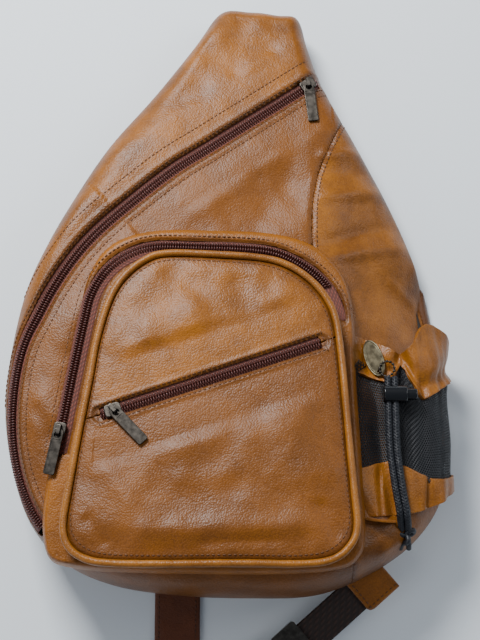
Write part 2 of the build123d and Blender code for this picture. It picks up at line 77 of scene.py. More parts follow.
class SlingBagColours(bpy.types.PropertyGroup):
    """Colours of the main finishes, as sRGB hex text."""
    leather: bpy.props.StringProperty(name="Leather", description="Tan cowhide", default="9A5C10")
    # The dark leather colour is the dark end of the leather's colour ramp: its mottling reaches it, and so
    # does the painted shade.
    leather_dark: bpy.props.StringProperty(
        name="Leather, dark", description="Burnished tan", default="63390E")
    strap: bpy.props.StringProperty(name="Strap", description="Red brown strap leather", default="6E3A1C")
    tape: bpy.props.StringProperty(name="Zip tape", description="Woven burgundy tape", default="6E3A2E")
    coil: bpy.props.StringProperty(name="Zip coil", description="Dark burgundy nylon", default="4A241E")
    metal: bpy.props.StringProperty(name="Metal", description="Antique brass plating", default="55504A")
    net: bpy.props.StringProperty(name="Net", description="Black polyester", default="14161B")


def sizes():
    """The scene's size settings."""
    return bpy.context.scene.sling_bag_sizes


def colours():
    """The scene's colour settings."""
    return bpy.context.scene.sling_bag_colours


# ---------------------------------------------------------------- plan lines (mm, as the CAD has them)

FRONT_Z = 70.0
FRONT_SLOPE = 0.10
POCKET_Z = 94.0
POCKET_SLOPE = 0.155
BACK_Z = 9.0                 # the back panel's outer face over the resting plane

BODY_OUTLINE = [
    (-16, 261), (-37, 231), (-69, 187), (-101, 146), (-126, 105), (-147, 65), (-162, 27), (-171, -20),
    (-173.5, -62), (-167, -104), (-152, -144), (-127, -172), (-91, -188), (-45, -195), (5, -197), (54, -195),
    (94, -180), (128, -156), (150, -122), (158, -70), (154, -10), (138, 48), (117, 100), (92, 146),
    (75, 177), (62, 206), (54, 232), (47, 256), (30, 259), (10, 262),
]
MAIN_ZIP = [
    (60, 196), (38, 181), (4, 158), (-24, 139), (-52, 120), (-86, 91), (-108, 70), (-124, 50), (-138, 27),
    (-148, 6), (-157, -14), (-162, -36), (-164, -62), (-163, -86), (-158, -110), (-149, -132), (-139, -148),
]
SIDE_SEAM = [
    (84, 176), (78, 160), (70, 143), (63, 127), (58, 112), (55, 96), (54, 80), (54, 60), (56, 30), (62, 0),
    (68, -60), (74, -120), (80, -200),
]
PIPING = [
    (-53, 48), (-70, 42), (-85, 28), (-94, 10), (-101, -18), (-105, -47), (-111, -87), (-115, -118),
    (-118, -146), (-114, -160), (-103, -168), (-86, -171), (-50, -171.5), (0, -171), (40, -171.5),
    (60, -169), (72, -161), (78, -148), (77, -125), (75, -95), (73, -62), (71, -30), (68, -3), (62, 13),
    (51, 27), (36, 38), (18, 44), (-15, 47),
]
POCKET_ZIP = [
    (-129, -96), (-126, -79), (-120, -41), (-113, 0), (-108, 22), (-97, 40), (-81, 52), (-62, 57.5),
    (-30, 57), (0, 56), (24, 53), (44, 44), (60, 31), (70, 15), (76, 0),
]
SLANT_ZIP = [(-96, -71), (-58, -58), (-20, -45), (20, -31.5), (57, -19)]


def smooth_line(points, step=2.0, closed=False):
    """A Catmull-Rom line through plan points, resampled at an even step."""
    pts = np.array(points, dtype=float)
    if closed:
        pts = np.vstack([pts[-1], pts, pts[0], pts[1]])
    else:
        pts = np.vstack([2 * pts[0] - pts[1], pts, 2 * pts[-1] - pts[-2]])
    t = np.linspace(0, 1, 24, endpoint=False)[:, None]
    rows = []
    for a, b, c, d in zip(pts, pts[1:], pts[2:], pts[3:]):
        rows.append(0.5 * (2 * b + (c - a) * t + (2 * a - 5 * b + 4 * c - d) * t ** 2
                           + (3 * b - a - 3 * c + d) * t ** 3))
    line = np.vstack(rows + [pts[-2][None]])
    return even(line, step)


def run_along(line):
    """Distance along a line of points up to each of them."""
    return np.concatenate([[0], np.cumsum(np.linalg.norm(np.diff(line, axis=0), axis=1))])


def directions(line):
    """Unit direction of a line at each of its points."""
    tangents = np.gradient(line, axis=0)
    tangents /= np.linalg.norm(tangents, axis=1)[:, None]
    return tangents


def even(line, step):
    """The same line with its points evenly spaced."""
    lengths = run_along(line)
    count = max(2, int(round(lengths[-1] / step)) + 1)
    at = np.linspace(0, lengths[-1], count)
    return np.stack([np.interp(at, lengths, line[:, k]) for k in range(line.shape[1])], axis=1)


OUTLINE_LINE = smooth_line(BODY_OUTLINE, 2.6, closed=True)
MAIN_LINE = smooth_line(MAIN_ZIP, 2.0)
SEAM_LINE = smooth_line(SIDE_SEAM, 3.0)
PIPING_LINE = smooth_line(PIPING, 2.0, closed=True)
POCKET_LINE = smooth_line(POCKET_ZIP, 2.0)
SLANT_LINE = smooth_line(SLANT_ZIP, 2.0)


def near(x, y, line):
    """Distance of plan points from a line, their side of it (left is positive) and their share along it."""
    x = np.asarray(x, dtype=float)
    shape = x.shape
    p = np.stack([x.ravel(), np.asarray(y, dtype=float).ravel()], axis=1)
    a, b = line[:-1], line[1:]
    ab = b - a
    long = (ab ** 2).sum(1)
    distance = np.empty(len(p))
    side = np.empty(len(p))
    share = np.empty(len(p))
    for i in range(0, len(p), 4000):
        q = p[i:i + 4000, None, :] - a[None]
        t = np.clip((q * ab[None]).sum(2) / long, 0, 1)
        gap = q - t[:, :, None] * ab[None]
        d2 = (gap ** 2).sum(2)
        k = d2.argmin(1)
        row = np.arange(len(k))
        distance[i:i + 4000] = np.sqrt(d2[row, k])
        cross = ab[k, 0] * q[row, k, 1] - ab[k, 1] * q[row, k, 0]
        side[i:i + 4000] = np.sign(cross)
        share[i:i + 4000] = (k + t[row, k]) / len(a)
    return distance.reshape(shape), side.reshape(shape), share.reshape(shape)


def seam_x(y):
    """Where the side seam lies at each Y."""
    return np.interp(-np.asarray(y), -SEAM_LINE[:, 1], SEAM_LINE[:, 0])


def crease(x, y, start, end, width, depth):
    """A soft ridge or fold along a straight stretch, fading at its ends."""
    ax, ay = start
    dx, dy = end[0] - ax, end[1] - ay
    long = math.hypot(dx, dy)
    t = ((x - ax) * dx + (y - ay) * dy) / long ** 2
    off = ((x - ax) * dy - (y - ay) * dx) / long
    fade = np.clip(np.minimum(t, 1 - t) * 4 + 0.35, 0, 1)
    return depth * np.exp(-(off / width) ** 2) * fade * fade * (3 - 2 * fade)


def soft_noise(x, y, size, seed):
    """Slow uneven surface noise between about -1 and 1."""
    flat_x = np.asarray(x, dtype=float).ravel() / size
    flat_y = np.asarray(y, dtype=float).ravel() / size
    values = [noise.noise((a + seed, b - seed, seed * 0.37)) for a, b in zip(flat_x, flat_y)]
    return np.array(values).reshape(np.shape(x))


def step_up(value, low, high):
    """Smooth change from 0 at low to 1 at high."""
    t = np.clip((np.asarray(value, dtype=float) - low) / (high - low), 0, 1)
    return t * t * (3 - 2 * t)


# ---------------------------------------------------------------- heights of the leather (mm)

SLOT_HALF = 5.3              # half the gap between the leather edges beside the main zip
MAIN_START = (0.826, 0.56)   # direction in which the seam runs on past the main zip's top end
BODY_CREASES = [
    ((60, 132), (112, 141), 4.5, 2.6), ((58, 118), (118, 124), 7.0, -1.8),
    ((58, 97), (124, 110), 5.0, 2.4), ((56, 60), (138, 88), 6.0, -2.4),
    ((60, 48), (142, 70), 4.0, 1.8), ((112, 40), (140, 20), 4.0, 1.4),
    ((-40, 228), (20, 246), 9.0, 1.2), ((-68, 136), (-50, 120), 3.0, 1.1),
    ((-90, 122), (-66, 104), 5.5, -1.0), ((-6, 196), (28, 226), 12.0, -1.5),
    ((-150, -60), (-128, -88), 6.0, -1.2), ((-60, -190), (40, -190), 7.0, 1.6),
    ((-30, 96), (30, 150), 16.0, 1.4), ((8, 66), (48, 120), 12.0, -1.3),
    ((96, -168), (132, -146), 4.0, 1.6),
]


def front_height(y):
    """Height of the CAD's front face."""
    return FRONT_Z - FRONT_SLOPE * np.asarray(y)


def pocket_base(y):
    """Height of the CAD's pocket face."""
    return POCKET_Z - POCKET_SLOPE * np.asarray(y)


def waist_height(x, y):
    """Height of the widest line of the bag's side."""
    at_top = step_up(y, 120, 250)
    at_right = step_up(x, 60, 120)
    at_right = at_right * step_up(y, -140, -70)
    return 36 - 16 * at_top - 16 * at_right * (1 - at_top)


def body_height(x, y, details=True):
    """Height of the leather of the main compartment over a plan point."""
    x = np.asarray(x, dtype=float)
    y = np.asarray(y, dtype=float)
    inside, _, _ = near(x, y, OUTLINE_LINE)
    over = np.clip(x - seam_x(y), 0, None)
    fall = 0.085 - 0.035 * step_up(y, 0, 70) - 0.035 * step_up(-y, 110, 150)
    top = front_height(y) - fall * over ** 1.5
    left = step_up(-x, 90, 140)
    radius = 25 - 13 * step_up(y, 130, 250) - 8 * step_up(x, 70, 120) - 8 * left
    share = np.clip(inside / radius, 0, 1)
    shoulder = np.sqrt(np.clip(1 - (1 - share) ** 2, 0, 1))
    waist = np.minimum(waist_height(x, y), top - 4)
    z = waist + (top - waist) * shoulder
    if not details:
        return z
    zip_gap, _, along = near(x, y, MAIN_LINE)
    flat = 1 - np.exp(-(zip_gap / 16) ** 2)
    puff = 2.6 * np.exp(-((zip_gap - 26) / 15) ** 2) + 2.7 * soft_noise(x, y, 46, 3.1) * flat
    puff = puff + 1.1 * soft_noise(x, y, 17, 9.4) * flat
    for start, end, width, depth in BODY_CREASES:
        puff = puff + crease(x, y, start, end, width, depth) * flat
    room = step_up(zip_gap, 44, 30) * (along < 0.42) * (x < 72)
    puff = puff * (1 - room) + np.minimum(puff, 0.5 + 0.25 * puff) * room
    z = z + puff * np.clip(shoulder * 1.4 - 0.3, 0, 1)
    edge = np.clip(zip_gap - SLOT_HALF, 0, None)
    z = z - 1.5 * np.exp(-(edge / 1.5) ** 2) + 0.7 * np.exp(-((edge - 3.4) / 2.0) ** 2)
    seam_gap = np.abs(x - seam_x(y)) * 0.95
    z = z - 1.3 * np.exp(-(seam_gap / 1.9) ** 2) * (y < 172) * (y > 20)
    return z


def skin_at(x, y):
    """Height of the main compartment's skin without its creases and seams."""
    return body_height(x, y, details=False)


POCKET_CREASES = [
    ((-80, -150), (50, -146), 8.0, 1.9), ((-60, -126), (40, -122), 11.0, -1.3),
    ((-96, -100), (-60, -150), 8.0, 1.2), ((20, -60), (66, -118), 12.0, 1.0),
    ((-50, 20), (30, 26), 10.0, -1.0), ((-70, -20), (-30, 14), 12.0, 1.2),
    ((52, -130), (66, -158), 5.0, -1.2), ((-104, -140), (-88, -160), 5.0, -1.3),
    ((-30, -158), (30, -156), 4.0, -0.9),
]


def pocket_height(x, y):
    """Height of the front pocket's face over a plan point."""
    x = np.asarray(x, dtype=float)
    y = np.asarray(y, dtype=float)
    inside, _, _ = near(x, y, PIPING_LINE)
    slant, _, _ = near(x, y, SLANT_LINE)
    flat = 1 - np.exp(-(slant / 15) ** 2)
    puff = 3.4 * (1 - np.exp(-inside / 26)) * flat
    puff = puff + (1.9 * soft_noise(x, y, 38, 5.7) + 0.8 * soft_noise(x, y, 15, 1.3)) * flat
    for start, end, width, depth in POCKET_CREASES:
        puff = puff + crease(x, y, start, end, width, depth) * flat
    edge = np.clip(slant - FACE_SLOT, 0, None)
    room = step_up(slant, 42, 30) * (x > -100)
    puff = puff * (1 - room) + np.minimum(puff, 0.45 + 0.22 * puff) * room
    z = pocket_base(y) + puff * np.clip(inside / 12, 0, 1) - 2.4 * np.exp(-(inside / 3.2) ** 2)
    return z - 0.9 * np.exp(-(edge / 1.2) ** 2) + 0.5 * np.exp(-((edge - 2.6) / 1.6) ** 2)


# ---------------------------------------------------------------- mesh helpers

def clip(points, triangles, values, extra=None):
    """The part of a triangle mesh where a value per point is positive, cut exactly along its zero line."""
    points = [tuple(p) for p in points]
    values = list(values)
    extras = list(extra) if extra is not None else [0.0] * len(points)
    cuts = {}

    def cut(a, b):
        key = (min(a, b), max(a, b))
        if key not in cuts:
            t = values[key[0]] / (values[key[0]] - values[key[1]])
            pa, pb = points[key[0]], points[key[1]]
            points.append(tuple(u + (v - u) * t for u, v in zip(pa, pb)))
            extras.append(extras[key[0]] + (extras[key[1]] - extras[key[0]]) * t)
            cuts[key] = len(points) - 1
        return cuts[key]

    kept = []
    for tri in triangles:
        signs = [values[i] > 0 for i in tri]
        if all(signs):
            kept.append(tuple(tri))
        elif any(signs):
            loop = []
            for k in range(3):
                a, b = tri[k], tri[(k + 1) % 3]
                if signs[k]:
                    loop.append(a)
                if signs[k] != signs[(k + 1) % 3]:
                    loop.append(cut(a, b))
            kept += [(loop[0], loop[m], loop[m + 1]) for m in range(1, len(loop) - 1)]
    used = sorted({i for tri in kept for i in tri})
    new = {old: k for k, old in enumerate(used)}
    kept = [tuple(new[i] for i in tri) for tri in kept]
    return np.array([points[i] for i in used]), kept, np.array([extras[i] for i in used])


def grid_triangles(rows, columns, closed=False):
    """Triangles of a grid of points, row by row; a closed grid joins its last column to its first."""
    triangles = []
    last = columns if closed else columns - 1
    for r in range(rows - 1):
        for c in range(last):
            a = r * columns + c
            b = r * columns + (c + 1) % columns
            triangles.append((a, b, b + columns))
            triangles.append((a, b + columns, a + columns))
    return triangles


def grid_quads(rows, columns, closed=False):
    """Quads of a grid of points."""
    last = columns if closed else columns - 1
    quads = []
    for r in range(rows - 1):
        for c in range(last):
            a = r * columns + c
            b = r * columns + (c + 1) % columns
            quads.append((a, b, b + columns, a + columns))
    return quads


def make_piece(name, points, faces, material, shade=None):
    """A mesh object from points in mm and faces, with an optional painted shade value per point."""
    mesh = bpy.data.meshes.new(name)
    places = (np.asarray(points, dtype=float) * MM).tolist()
    mesh.from_pydata(places, [], [tuple(map(int, face)) for face in faces])
    if shade is not None:
        layer = mesh.attributes.new("shade", "FLOAT", "POINT")
        layer.data.foreach_set("value", np.asarray(shade, dtype=np.float32))
    mesh.validate()
    mesh.shade_smooth()
    mesh.materials.append(material)
    piece = bpy.data.objects.new(name, mesh)
    bpy.context.scene.collection.objects.link(piece)
    return piece


def reworked(piece, merge=None, recalculate=True, away=None):
    """Merges a piece's doubles and turns its normals; away(face) says how well a face already points."""
    tool = bmesh.new()
    tool.from_mesh(piece.data)
    if merge:
        bmesh.ops.remove_doubles(tool, verts=tool.verts, dist=merge)
    if recalculate:
        bmesh.ops.recalc_face_normals(tool, faces=tool.faces)
    if away and sum(away(face) * face.calc_area() for face in tool.faces) < 0:
        bmesh.ops.reverse_faces(tool, faces=tool.faces)
    tool.to_mesh(piece.data)
    tool.free()


SAME_POINT = 1e-6            # metres between points that are one


def face_up(piece):
    """Makes a sheet's normals point up."""
    reworked(piece, SAME_POINT, away=lambda face: face.normal.z)


def outward(piece):
    """Makes a closed piece's normals point outwards."""
    reworked(piece, SAME_POINT)


def turn_out(piece, centre):
    """Makes an open sheet's normals point away from a centre given in mm."""
    middle = Vector(centre) * MM
    reworked(piece, away=lambda face: face.normal.dot(face.calc_center_median() - middle))


def joined(tubes):
    """Points and faces of several tubes as one set."""
    points, faces = [], []
    for more, quads in tubes:
        faces += [tuple(i + len(points) for i in quad) for quad in quads]
        points += more.tolist()
    return np.array(points), faces


def apply_modifiers(piece):
    """Turns a piece and its modifiers into a plain mesh."""
    graph = bpy.context.evaluated_depsgraph_get()
    mesh = bpy.data.meshes.new_from_object(piece.evaluated_get(graph))
    piece.modifiers.clear()
    old = piece.data
    piece.data = mesh
    bpy.data.meshes.remove(old)


def thicken(piece, thickness, offset=-1.0, bevel=0.0):
    """Gives a sheet its wall, inwards unless the offset says otherwise, with softened cut edges when a bevel
    width is given.
    """
    wall = piece.modifiers.new("wall", "SOLIDIFY")
    wall.thickness = thickness
    wall.offset = offset
    wall.use_even_offset = False
    if bevel:
        soft = piece.modifiers.new("soft edge", "BEVEL")
        soft.width = bevel
        soft.segments = 2
        soft.limit_method = "ANGLE"
        soft.angle_limit = math.radians(50)
    apply_modifiers(piece)
    piece.data.shade_smooth()
    return piece


def tube(points, radius, sides=12, closed=False, flat=1.0):
    """Rings of a round or flattened tube along a line of points, and its quads."""
    line = np.asarray(points, dtype=float)
    if closed:
        tangents = np.roll(line, -1, axis=0) - np.roll(line, 1, axis=0)
        tangents /= np.linalg.norm(tangents, axis=1)[:, None]
    else:
        tangents = directions(line)
    up = np.array([0.0, 0.0, 1.0])
    across = np.cross(tangents, up)
    bad = np.linalg.norm(across, axis=1) < 0.2
    across[bad] = np.cross(tangents[bad], np.array([1.0, 0.0, 0.0]))
    across /= np.linalg.norm(across, axis=1)[:, None]
    lift = np.cross(across, tangents)
    turn = np.linspace(0, 2 * np.pi, sides, endpoint=False)
    radius = np.broadcast_to(np.asarray(radius, dtype=float), (len(line),))
    ring = (across[:, None, :] * np.cos(turn)[None, :, None]
            + lift[:, None, :] * np.sin(turn)[None, :, None] * flat)
    rings = line[:, None, :] + ring * radius[:, None, None]
    pts = rings.reshape(-1, 3)
    rows = len(line) + (1 if closed else 0)
    quads = []
    for r in range(rows - 1):
        for c in range(sides):
            a = r % len(line) * sides
            b = (r + 1) % len(line) * sides
            d = (c + 1) % sides
            quads.append((a + c, a + d, b + d, b + c))
    if not closed:
        quads.append(tuple(range(sides))[::-1])
        quads.append(tuple((len(line) - 1) * sides + k for k in range(sides)))
    return pts, quads


def frames_on(height, line, lift=0.0):
    """Points on a height field along a plan line, with its upward normal there."""
    x, y = line[:, 0], line[:, 1]
    e = 1.5
    z = height(x, y)
    slope_x = (height(x + e, y) - height(x - e, y)) / (2 * e)
    slope_y = (height(x, y + e) - height(x, y - e)) / (2 * e)
    up = np.stack([-slope_x, -slope_y, np.ones_like(x)], axis=1)
    up /= np.linalg.norm(up, axis=1)[:, None]
    return np.stack([x, y, z], axis=1) + up * lift, up


# ---------------------------------------------------------------- materials

def to_linear(text):
    """An sRGB hex colour as linear red, green, blue and alpha."""
    values = [int(text[i:i + 2], 16) / 255 for i in (0, 2, 4)]
    return [v / 12.92 if v <= 0.04045 else ((v + 0.055) / 1.055) ** 2.4 for v in values] + [1.0]


def add(tree, kind, settings=None, links=None):
    """Adds a node with its settings and input values, and links the outputs named to its inputs."""
    made = tree.nodes.new(kind)
    for key, value in (settings or {}).items():
        if isinstance(key, str) and hasattr(made, key):
            setattr(made, key, value)
        else:
            made.inputs[key].default_value = value
    for key, source in (links or {}).items():
        tree.links.new(source, made.inputs[key])
    return made


def ramp(tree, source, stops):
    """A colour ramp over a value, from (position, colour) stops."""
    made = add(tree, "ShaderNodeValToRGB", links={"Fac": source})
    points = made.color_ramp.elements
    while len(points) < len(stops):
        points.new(0.5)
    for point, (place, colour) in zip(points, stops):
        point.position = place
        point.color = colour
    return made.outputs["Color"]


def new_material(name):
    """An empty material with its shader, and its tree."""
    made = bpy.data.materials.new(name)
    made.use_nodes = True
    tree = made.node_tree
    tree.nodes.clear()
    shader = add(tree, "ShaderNodeBsdfPrincipled")
    out = add(tree, "ShaderNodeOutputMaterial", links={"Surface": shader.outputs["BSDF"]})
    out.is_active_output = True
    return made, tree, shader


def pebbled_leather(name, light, dark, grain, roughness=0.40, shade_strength=0.5):
    """Chrome-tanned cowhide with a tumbled pebble grain, light on its tops and dark in its valleys, darkened
    further by a painted shade value per point.
    """
    made, tree, shader = new_material(name)
    place = add(tree, "ShaderNodeTexCoord").outputs["Object"]
    warp = add(tree, "ShaderNodeTexNoise", {"Scale": 0.35 / grain, "Detail": 2.0}, {"Vector": place})
    moved = add(tree, "ShaderNodeVectorMath", {"operation": "SCALE", "Scale": grain * 0.9},
                {0: warp.outputs["Color"]})
    spot = add(tree, "ShaderNodeVectorMath", {"operation": "ADD"}, {0: place, 1: moved.outputs["Vector"]})
    cells = add(tree, "ShaderNodeTexVoronoi",
                {"feature": "SMOOTH_F1", "Scale": 1 / grain, "Smoothness": 0.55},
                {"Vector": spot.outputs["Vector"]})
    fine = add(tree, "ShaderNodeTexNoise", {"Scale": 2.6 / grain, "Detail": 4.0}, {"Vector": place})
    slow = add(tree, "ShaderNodeTexNoise", {"Scale": 17.0, "Detail": 5.0, "Roughness": 0.6},
               {"Vector": place})
    streak = add(tree, "ShaderNodeTexNoise", {"Scale": 55.0, "Detail": 3.0}, {"Vector": place})
    tone = add(tree, "ShaderNodeMath", {"operation": "MULTIPLY_ADD", 1: 0.62, 2: 0.0},
               {0: slow.outputs["Fac"]})
    tone = add(tree, "ShaderNodeMath", {"operation": "MULTIPLY_ADD", 1: 0.38},
               {0: streak.outputs["Fac"], 2: tone.outputs["Value"]})
    # Painted shade: the per-point shade value, set beside slots, seams and piping and low on the walls,
    # darkens the leather's tone.
    painted_shade = add(tree, "ShaderNodeAttribute", {"attribute_name": "shade"})
    shaded_tone = add(tree, "ShaderNodeMath", {"operation": "MULTIPLY_ADD", 1: -shade_strength},
               {0: painted_shade.outputs["Fac"], 2: tone.outputs["Value"]})
    colour = ramp(tree, shaded_tone.outputs["Value"], [(0.26, to_linear(dark)), (0.60, to_linear(light))])
    valley = ramp(tree, cells.outputs["Distance"], [(0.25, [1, 1, 1, 1]), (0.85, [0.62, 0.58, 0.54, 1])])
    mixed = add(tree, "ShaderNodeMix", {"data_type": "RGBA", "blend_type": "MULTIPLY", "Factor": 0.65})
    tree.links.new(colour, mixed.inputs[6])
    tree.links.new(valley, mixed.inputs[7])
    tree.links.new(mixed.outputs[2], shader.inputs["Base Color"])
    dull = add(tree, "ShaderNodeMath", {"operation": "MULTIPLY_ADD", 1: 0.28, 2: roughness - 0.12},
               {0: slow.outputs["Fac"]})
    tree.links.new(dull.outputs["Value"], shader.inputs["Roughness"])
    bumps = add(tree, "ShaderNodeMath", {"operation": "MULTIPLY_ADD", 1: -1.0},
                {0: cells.outputs["Distance"]})
    small = add(tree, "ShaderNodeMath", {"operation": "MULTIPLY", 1: 0.28}, {0: fine.outputs["Fac"]})
    tree.links.new(small.outputs["Value"], bumps.inputs[2])
    relief = add(tree, "ShaderNodeBump", {"Strength": 0.5, "Distance": grain * 0.36},
                 {"Height": bumps.outputs["Value"]})
    wrinkle = add(tree, "ShaderNodeBump", {"Strength": 0.42, "Distance": 0.0020},
                  {"Height": streak.outputs["Fac"], "Normal": relief.outputs["Normal"]})
    tree.links.new(wrinkle.outputs["Normal"], shader.inputs["Normal"])
    shader.inputs["Specular IOR Level"].default_value = 0.34
    return made


def woven(name, colour, thread, roughness=0.75):
    """Woven or braided polyester in its own UV, whose unit is a metre: threads run across and along."""
    made, tree, shader = new_material(name)
    place = add(tree, "ShaderNodeUVMap").outputs["UV"]
    bands = 0.157 / thread
    rows = add(tree, "ShaderNodeTexWave", {"bands_direction": "X", "Scale": bands, "Distortion": 0.0},
               {"Vector": place})
    lines = add(tree, "ShaderNodeTexWave", {"bands_direction": "DIAGONAL", "Scale": bands, "Distortion": 0.6},
                {"Vector": place})
    both = add(tree, "ShaderNodeMath", {"operation": "MULTIPLY"},
               {0: rows.outputs["Fac"], 1: lines.outputs["Fac"]})
    base = to_linear(colour)
    lift = [min(1, 1.35 * c) for c in base[:3]] + [1]
    tint = ramp(tree, both.outputs["Value"], [(0.0, [0.55 * c for c in base[:3]] + [1]), (0.8, lift)])
    tree.links.new(tint, shader.inputs["Base Color"])
    shader.inputs["Roughness"].default_value = roughness
    relief = add(tree, "ShaderNodeBump", {"Strength": 0.7, "Distance": thread * 0.4},
                 {"Height": both.outputs["Value"]})
    tree.links.new(relief.outputs["Normal"], shader.inputs["Normal"])
    return made


def antique_plate(name, colour, roughness=0.36):
    """Zinc die casting with brushed antique brass plating, dark where it is rubbed least."""
    made, tree, shader = new_material(name)
    place = add(tree, "ShaderNodeTexCoord").outputs["Object"]
    cloud = add(tree, "ShaderNodeTexNoise", {"Scale": 260.0, "Detail": 4.0}, {"Vector": place})
    base = to_linear(colour)
    tint = ramp(tree, cloud.outputs["Fac"], [(0.35, [0.55 * c for c in base[:3]] + [1]), (0.62, base)])
    tree.links.new(tint, shader.inputs["Base Color"])
    shader.inputs["Metallic"].default_value = 1.0
    dull = add(tree, "ShaderNodeMath", {"operation": "MULTIPLY_ADD", 1: 0.25, 2: roughness - 0.1},
               {0: cloud.outputs["Fac"]})
    tree.links.new(dull.outputs["Value"], shader.inputs["Roughness"])
    relief = add(tree, "ShaderNodeBump", {"Strength": 0.15, "Distance": 0.0003},
                 {"Height": cloud.outputs["Fac"]})
    tree.links.new(relief.outputs["Normal"], shader.inputs["Normal"])
    return made


def moulded(name, colour, roughness, grain=900.0, strength=0.08):
    """Moulded or spun nylon and plastic with a faint texture."""
    made, tree, shader = new_material(name)
    place = add(tree, "ShaderNodeTexCoord").outputs["Object"]
    cloud = add(tree, "ShaderNodeTexNoise", {"Scale": grain, "Detail": 2.0}, {"Vector": place})
    shader.inputs["Base Color"].default_value = to_linear(colour)
    shader.inputs["Roughness"].default_value = roughness
    relief = add(tree, "ShaderNodeBump", {"Strength": strength, "Distance": 0.0004},
                 {"Height": cloud.outputs["Fac"]})
    tree.links.new(relief.outputs["Normal"], shader.inputs["Normal"])
    return made


MATERIALS = {}


def material(name):
    """A finish by its name; all are made at the first call."""
    if not MATERIALS:
        c = colours()
        MATERIALS["leather"] = pebbled_leather("pebbled leather", c.leather, c.leather_dark, 0.0012)
        # A darker copy of the leather, painted shade on the front panel under the main zip, the bottom
        # gusset, the pocket's gusset and its lower face.
        MATERIALS["lower"] = pebbled_leather("pebbled leather, painted shade", "804A0C", c.leather_dark, 0.0012)
        MATERIALS["side"] = pebbled_leather("pebbled leather, side", "A2641C", "5E340A", 0.0012, 0.38)
        MATERIALS["piping"] = pebbled_leather("piping leather", "A2661F", "6C3F12", 0.0010, 0.38)
        MATERIALS["strap"] = pebbled_leather("strap leather", c.strap, "522A18", 0.0009, 0.40)
        MATERIALS["pad"] = pebbled_leather("pad leather", "A66A30", c.leather_dark, 0.0013, 0.55)
        MATERIALS["thread"] = moulded("waxed thread", "5C3716", 0.6)
        MATERIALS["strap thread"] = moulded("dark waxed thread", "4A2A1A", 0.6)
        MATERIALS["tape"] = woven("zip tape", c.tape, 0.0009)
        MATERIALS["coil"] = moulded("nylon coil", c.coil, 0.34)
        MATERIALS["metal"] = antique_plate("antique brass plate", c.metal)
        MATERIALS["tag metal"] = antique_plate("antique brass tag", "8F8870", 0.42)
        MATERIALS["net"] = moulded("polyester net", c.net, 0.55)
        MATERIALS["cord"] = moulded("polyester cord", "181B22", 0.5, 1500.0, 0.3)
        # A black sheet of painted shade for the inside of the bottle pocket.
        MATERIALS["pocket shade"] = moulded("black sheet, painted shade", "101114", 0.85)
        MATERIALS["plastic"] = moulded("glossy acetal", "0E0F12", 0.24)
        MATERIALS["lining"] = moulded("nylon taffeta", "26211D", 0.8)
        MATERIALS["webbing"] = woven("strap webbing", "2E1C14", 0.0016, 0.7)
    return MATERIALS[name]


# ---------------------------------------------------------------- repeated shapes with geometry nodes

def repeat_tree():
    """A node tree that lays rounded grains along a line: each is a squashed ball of a given size."""
    if "repeat along" in bpy.data.node_groups:
        return bpy.data.node_groups["repeat along"]
    tree = bpy.data.node_groups.new("repeat along", "GeometryNodeTree")
    face = tree.interface
    face.new_socket("Geometry", in_out="INPUT", socket_type="NodeSocketGeometry")
    face.new_socket("Pitch", in_out="INPUT", socket_type="NodeSocketFloat")
    face.new_socket("Size", in_out="INPUT", socket_type="NodeSocketVector")
    face.new_socket("Material", in_out="INPUT", socket_type="NodeSocketMaterial")
    face.new_socket("Geometry", in_out="OUTPUT", socket_type="NodeSocketGeometry")
    start = add(tree, "NodeGroupInput")
    curve = add(tree, "GeometryNodeMeshToCurve", links={"Mesh": start.outputs["Geometry"]})
    spots = add(tree, "GeometryNodeResampleCurve", {"mode": "LENGTH"},
                {"Curve": curve.outputs["Curve"], "Length": start.outputs["Pitch"]})
    ball = add(tree, "GeometryNodeMeshUVSphere", {"Segments": 8, "Rings": 5, "Radius": 0.5})
    shaped = add(tree, "GeometryNodeTransform", links={"Geometry": ball.outputs["Mesh"],
                                                       "Scale": start.outputs["Size"]})
    smooth = add(tree, "GeometryNodeSetShadeSmooth", links={"Geometry": shaped.outputs["Geometry"]})
    tangent = add(tree, "GeometryNodeInputTangent")
    up = add(tree, "GeometryNodeInputNamedAttribute", {"data_type": "FLOAT_VECTOR", "Name": "up"})
    first = add(tree, "FunctionNodeAlignRotationToVector", {"axis": "X"},
                {"Vector": tangent.outputs["Tangent"]})
    second = add(tree, "FunctionNodeAlignRotationToVector", {"axis": "Z", "pivot_axis": "X"},
                 {"Rotation": first.outputs["Rotation"], "Vector": up.outputs["Attribute"]})
    laid = add(tree, "GeometryNodeInstanceOnPoints",
               links={"Points": spots.outputs["Curve"], "Instance": smooth.outputs["Geometry"],
                      "Rotation": second.outputs["Rotation"]})
    solid = add(tree, "GeometryNodeRealizeInstances", links={"Geometry": laid.outputs["Instances"]})
    done = add(tree, "GeometryNodeSetMaterial", links={"Geometry": solid.outputs["Geometry"],
                                                       "Material": start.outputs["Material"]})
    add(tree, "NodeGroupOutput", links={"Geometry": done.outputs["Geometry"]})
    return tree


